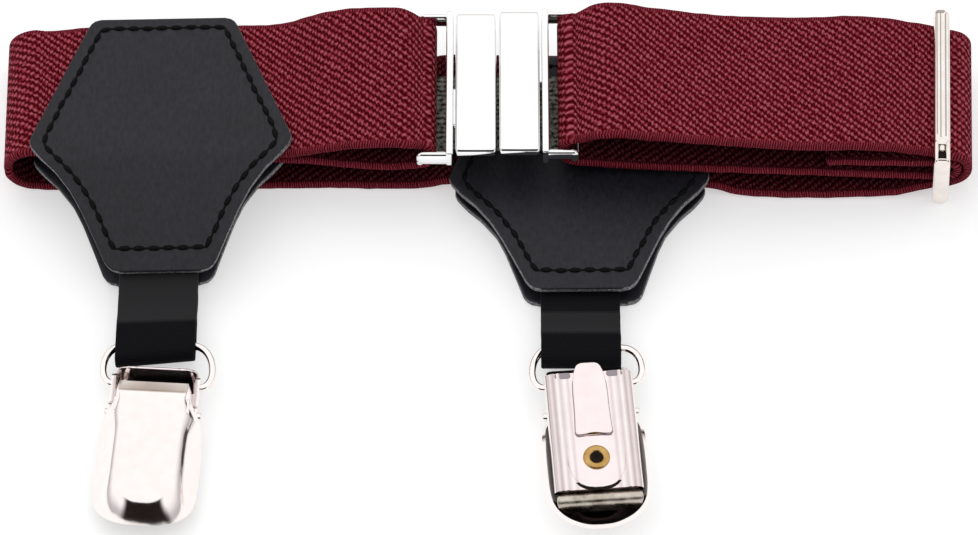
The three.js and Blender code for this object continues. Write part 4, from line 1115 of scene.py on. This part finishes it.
def make_slot_tape(material):
    """Tape that lies on the right patch under the clasp and shows dull through the slots of both halves."""
    start, end, half = -11.4, 14.4, 7.2
    middle_y, middle_z = 12.2, 5.35
    centre = np.array([(x, middle_y, middle_z) for x in np.linspace(start, end, 60)])
    side = np.broadcast_to([0.0, 1.0, 0.0], centre.shape)
    grid, out = band(centre, side, half, 0.4, 0.15, 24)
    uv = np.stack([np.broadcast_to(grid[..., 0], out.shape), out], axis=-1).reshape(-1, 2)
    tape = piece("clasp_tape", [as_shell(grid)], [material], "loop", uv=uv)


SLIDE = dict(x=70.9, y=-1.9, thick=2.6, long=29.7, high=12.9, bar=1.5, end=1.4, turn=-3.2, lean=-3.5)
SLOT = dict(long=3.5, wide=1.05, deep=1.3)


def make_slide(metal, shade, painted_groove_shade):
    """Slide on its long edge: three bars with round edges between two short ends, turned and leaned a little.

    Its upper bar has three fine grooves along it, drawn as grey lines of painted shade, a grey patch of painted
    shade on a small plate at its far end, and at its near end a slot with a pivot's end in it.
    """
    turn, lean = about_z(SLIDE["turn"]), math.radians(SLIDE["lean"])
    about_y = np.array([[math.cos(lean), 0, math.sin(lean)], [0, 1, 0], [-math.sin(lean), 0, math.cos(lean)]])
    thick, long_, high, bar, end = (SLIDE[k] for k in ("thick", "long", "high", "bar", "end"))
    middle = np.array([thick / 2, 0, SLIDE_MIDDLE])

    def place(points):
        """Leans the slide's points about its middle bar, turns them and places them in the frame."""
        leaned = (points - middle) @ about_y.T + middle
        return placed(leaned @ turn.T + [SLIDE["x"], SLIDE["y"], 0.03])

    def block(x, y, z, radius):
        """Block between two places along each of the slide's own axes."""
        return as_shell(rounded_block([x[0], y[0], z[0]], [x[1], y[1], z[1]], radius), place)

    slot, inner = SLOT["long"], SLOT["wide"]
    side = (thick - inner) / 2
    top, half_bar = high - bar, bar / 2
    shells = [
        block((0, thick), (0.1, long_ - 0.1), (0, bar), [1.15, 0.9, 0.7]),
        block((0, thick), (0.1, long_ - 0.1), (SLIDE_MIDDLE - half_bar, SLIDE_MIDDLE + half_bar), 0.6),
        block((0, thick), (slot - 0.4, long_ - 0.1), (top, high), [1.1, 1.0, 0.7]),
        block((0, side), (0, slot + 0.8), (top, high), [0.36, 0.9, 0.6]),
        block((thick - side, thick), (0, slot + 0.8), (top, high), [0.36, 0.9, 0.6]),
        block((0, thick), (0, end * 0.55), (0, high), [1.15, 0.35, 1.2]),
        block((0, thick), (long_ - end, long_), (0, high), [1.15, 0.65, 1.2]),
        block((0.05, thick - 0.05), (0.2, end), (0.05, high - SLOT["deep"]), [1.1, 0.5, 0.5]),
        block((side + 0.06, side + inner - 0.06), (slot - 1.3, slot + 0.2), (top, high - 0.35), 0.4),
        block((side - 0.1, side + inner + 0.1), (0.5, slot + 0.1), (top + 0.1, high - 0.8), 0.1),
        # Three grooves, and a small plate at the far end, in grey: painted shade
        *(block((x, x + 0.24), (slot + first, long_ - 0.9), (high - 0.4, high - drop), [0.1, 0.3, 0.04])
          for x, first, drop in ((0.42, 1.6, 0.08), (0.98, 0.9, -0.01), (1.76, 1.2, 0.0))),
        block((0.2, thick - 0.5), (long_ - 1.3, long_ + 0.02), (high - 1.2, high + 0.03), [0.7, 0.6, 0.9]),
    ]
    slide = piece("strap_slide", shells, [metal, shade, painted_groove_shade], "loop", ["slide"],
                  kinds=by_shell(shells, [0] * 9 + [1] + [2] * 4))
    crisp(slide, 60)


# Floor and light
def make_floor():
    """Plain pale floor under the suspender: a white table, lit through a little from below."""
    reach, below, glow = 2.5, 0.0001, 0.48
    material, tree, shader = new_material("floor_white_card")
    place = add(tree, "ShaderNodeTexCoord").outputs["Object"]
    tooth = add(tree, "ShaderNodeTexNoise", {"Vector": place, "Scale": 900.0, "Detail": 2.0}).outputs["Fac"]
    bump = add(tree, "ShaderNodeBump", {"Height": tooth, "Strength": 0.05, "Distance": 0.1 * MM})
    wire(tree, shader, {"Normal": bump, "Base Color": linear("#c8c8c8"), "Emission Color": linear("#ffffff"),
                        "Emission Strength": glow, "Roughness": 0.9, "Specular IOR Level": 0.2})
    mesh = bpy.data.meshes.new("floor")
    corners = [(-reach, -reach, 0), (reach, -reach, 0), (reach, reach, 0), (-reach, reach, 0)]
    mesh.from_pydata(corners, [], [(0, 1, 2, 3)])
    mesh.materials.append(material)
    floor = bpy.data.objects.new("floor", mesh)
    floor.location.z = -below
    bpy.context.collection.objects.link(floor)


def make_light():
    """White light tent with three openings: the dark room round the camera, a pale grey horizon at both sides
    and a warm brown one behind. A small soft lamp from behind brings out the weave."""
    world = bpy.data.worlds.new("light_tent")
    world.use_nodes = True
    bpy.context.scene.world = world
    tree = world.node_tree
    direction = add(tree, "ShaderNodeTexCoord").outputs["Generated"]
    x, y, z = add(tree, "ShaderNodeSeparateXYZ", {0: direction}).outputs

    def past(value, start, end):
        """Smooth step from 0 at start to 1 at end."""
        return add(tree, "ShaderNodeMapRange", {0: value, 1: start, 2: end}, interpolation_type="SMOOTHSTEP")

    def both(a, b):
        """The two factors multiplied."""
        return add(tree, "ShaderNodeMath", {0: a, 1: b}, operation="MULTIPLY")

    # Each opening's edges, as parts of the direction of view
    side = add(tree, "ShaderNodeMath", {0: x}, operation="ABSOLUTE")
    room = both(both(past(side, 0.75, 0.55), past(z, 0.68, 0.60)), past(y, 0.0, -0.15))
    back = both(past(y, 0.60, 0.72), past(z, 0.36, 0.10))
    low = past(z, 0.40, 0.0)
    tent = ramp(tree, low, [(0.0, "#ffffff"), (0.5, "#e9e7e9"), (1.0, "#b6b3b6")])
    warm = add(tree, "ShaderNodeMix", {0: back, 6: tent, 7: linear("#8d7a5e")}, data_type="RGBA").outputs[2]
    colour = add(tree, "ShaderNodeMix", {0: room, 6: warm, 7: linear("#201a18")}, data_type="RGBA").outputs[2]
    wire(tree, tree.nodes["Background"], {"Color": colour, "Strength": 1.08})
    lamp = bpy.data.lights.new("soft_lamp", "AREA")
    lamp.shape = "RECTANGLE"
    lamp.size, lamp.size_y = 0.9, 0.6
    lamp.energy = 1.5
    thing = bpy.data.objects.new("soft_lamp", lamp)
    thing.visible_glossy = False
    thing.location = (-0.25, 0.55, 0.75)
    thing.rotation_euler = (math.radians(-36), math.radians(-16), 0)
    bpy.context.collection.objects.link(thing)
    view = bpy.context.scene.view_settings
    view.view_transform = "Standard"
    view.look = "None"
    view.exposure = 0.0


place_camera()
elastic = woven_elastic("elastic_woven_burgundy", 1.0)
# The weave dimmed to a third: painted shade on the strap's back and tail
elastic_painted_shade = woven_elastic("elastic_woven_back_painted_shade", 0.34)
leather, edge, thread = finished_leather(), cut_leather(), bonded_thread()
# Each ribbon's painted sheen lies over its own stretch from the fold
ribbons = {"a": ribbon_cloth("ribbon_nylon_a", 7.8, 40.0), "b": ribbon_cloth("ribbon_nylon_b", 5.5, 9.9)}
# Bright nickel plate on pressed steel: a slightly warm mirror
nickel = plated_metal("nickel_plated_steel", "#fbf4f1", "#f7efec", 0.10, 0.05)
# The same nickel, with painted reflection streaks along each clip's back plate
painted_streaked = {mark: plated_metal(f"nickel_plate_painted_streaks_{mark}", "#fbf4f1", "#f7efec", 0.10, 0.05, side)
            for mark, side in SIDES.items()}
# The same plate, rubbed dull by the cloth that it grips, and painted a darker grey brown as shade on its curled
# lip
rubbed_and_shaded = plated_metal("nickel_plate_rubbed_painted_shade", "#d8cfc4", "#9a8f82", 0.32, 0.2)
# Dark brown steel inside the covers as painted shade, and pale steel along their inner flanks as painted
# reflected light
inside_painted_shade = plain("steel_inside_painted_shade", "#463b35", 0.3, 1.0)
flank_painted_light = plain("steel_flank_painted_light", "#d6cecd", 0.35, 0.3)
# Chrome plate on cast zinc: a neutral mirror
chrome = plated_metal("chrome_plated_zinc", "#fbfbfb", "#f8f9f9", 0.07, 0.03)
# Rolled brass sheet, lacquered: satin and yellow brown
brass = plated_metal("brass_rolled", "#d0ab6c", "#b08a4c", 0.30, 0.08)
# Slits, notches and holes in the metal, which light doesn't reach
shade = plain("metal_in_deep_shade", "#1c1512", 0.6)
half_lit = plain("metal_in_half_shade", "#9b9197", 0.5)
# Grey painted shade for the fine grooves along the slide and on the small plate at its far end
painted_groove_shade = plain("metal_painted_groove_shade", "#aaa29c", 0.4)
buffed = plated_metal("nickel_plate_buffed", "#f7f0ea", "#eee6df", 0.16, 0.05)

make_strap(elastic, elastic_painted_shade)
seam = seam_path()
for mark, patch in PATCHES.items():
    for layer in ("front", "back"):
        make_leather(mark, patch, layer, seam, leather, edge)
    make_stitches(mark, patch, seam, thread)
for mark, side in SIDES.items():
    make_ribbon(mark, side, ribbons[mark])
    make_ring(mark, side, nickel)
    make_clip_body(mark, side, painted_streaked[mark], shade, half_lit)
    make_clip_jaw(mark, side, rubbed_and_shaded)
    make_clip_cover(mark, side, nickel, inside_painted_shade, flank_painted_light)
    make_eyelet(mark, side, brass, shade)
for name, part in CLASP.items():
    make_clasp(name, part, chrome)
make_slot_tape(coarse_tape())
make_slide(buffed, shade, painted_groove_shade)
make_floor()
make_light()
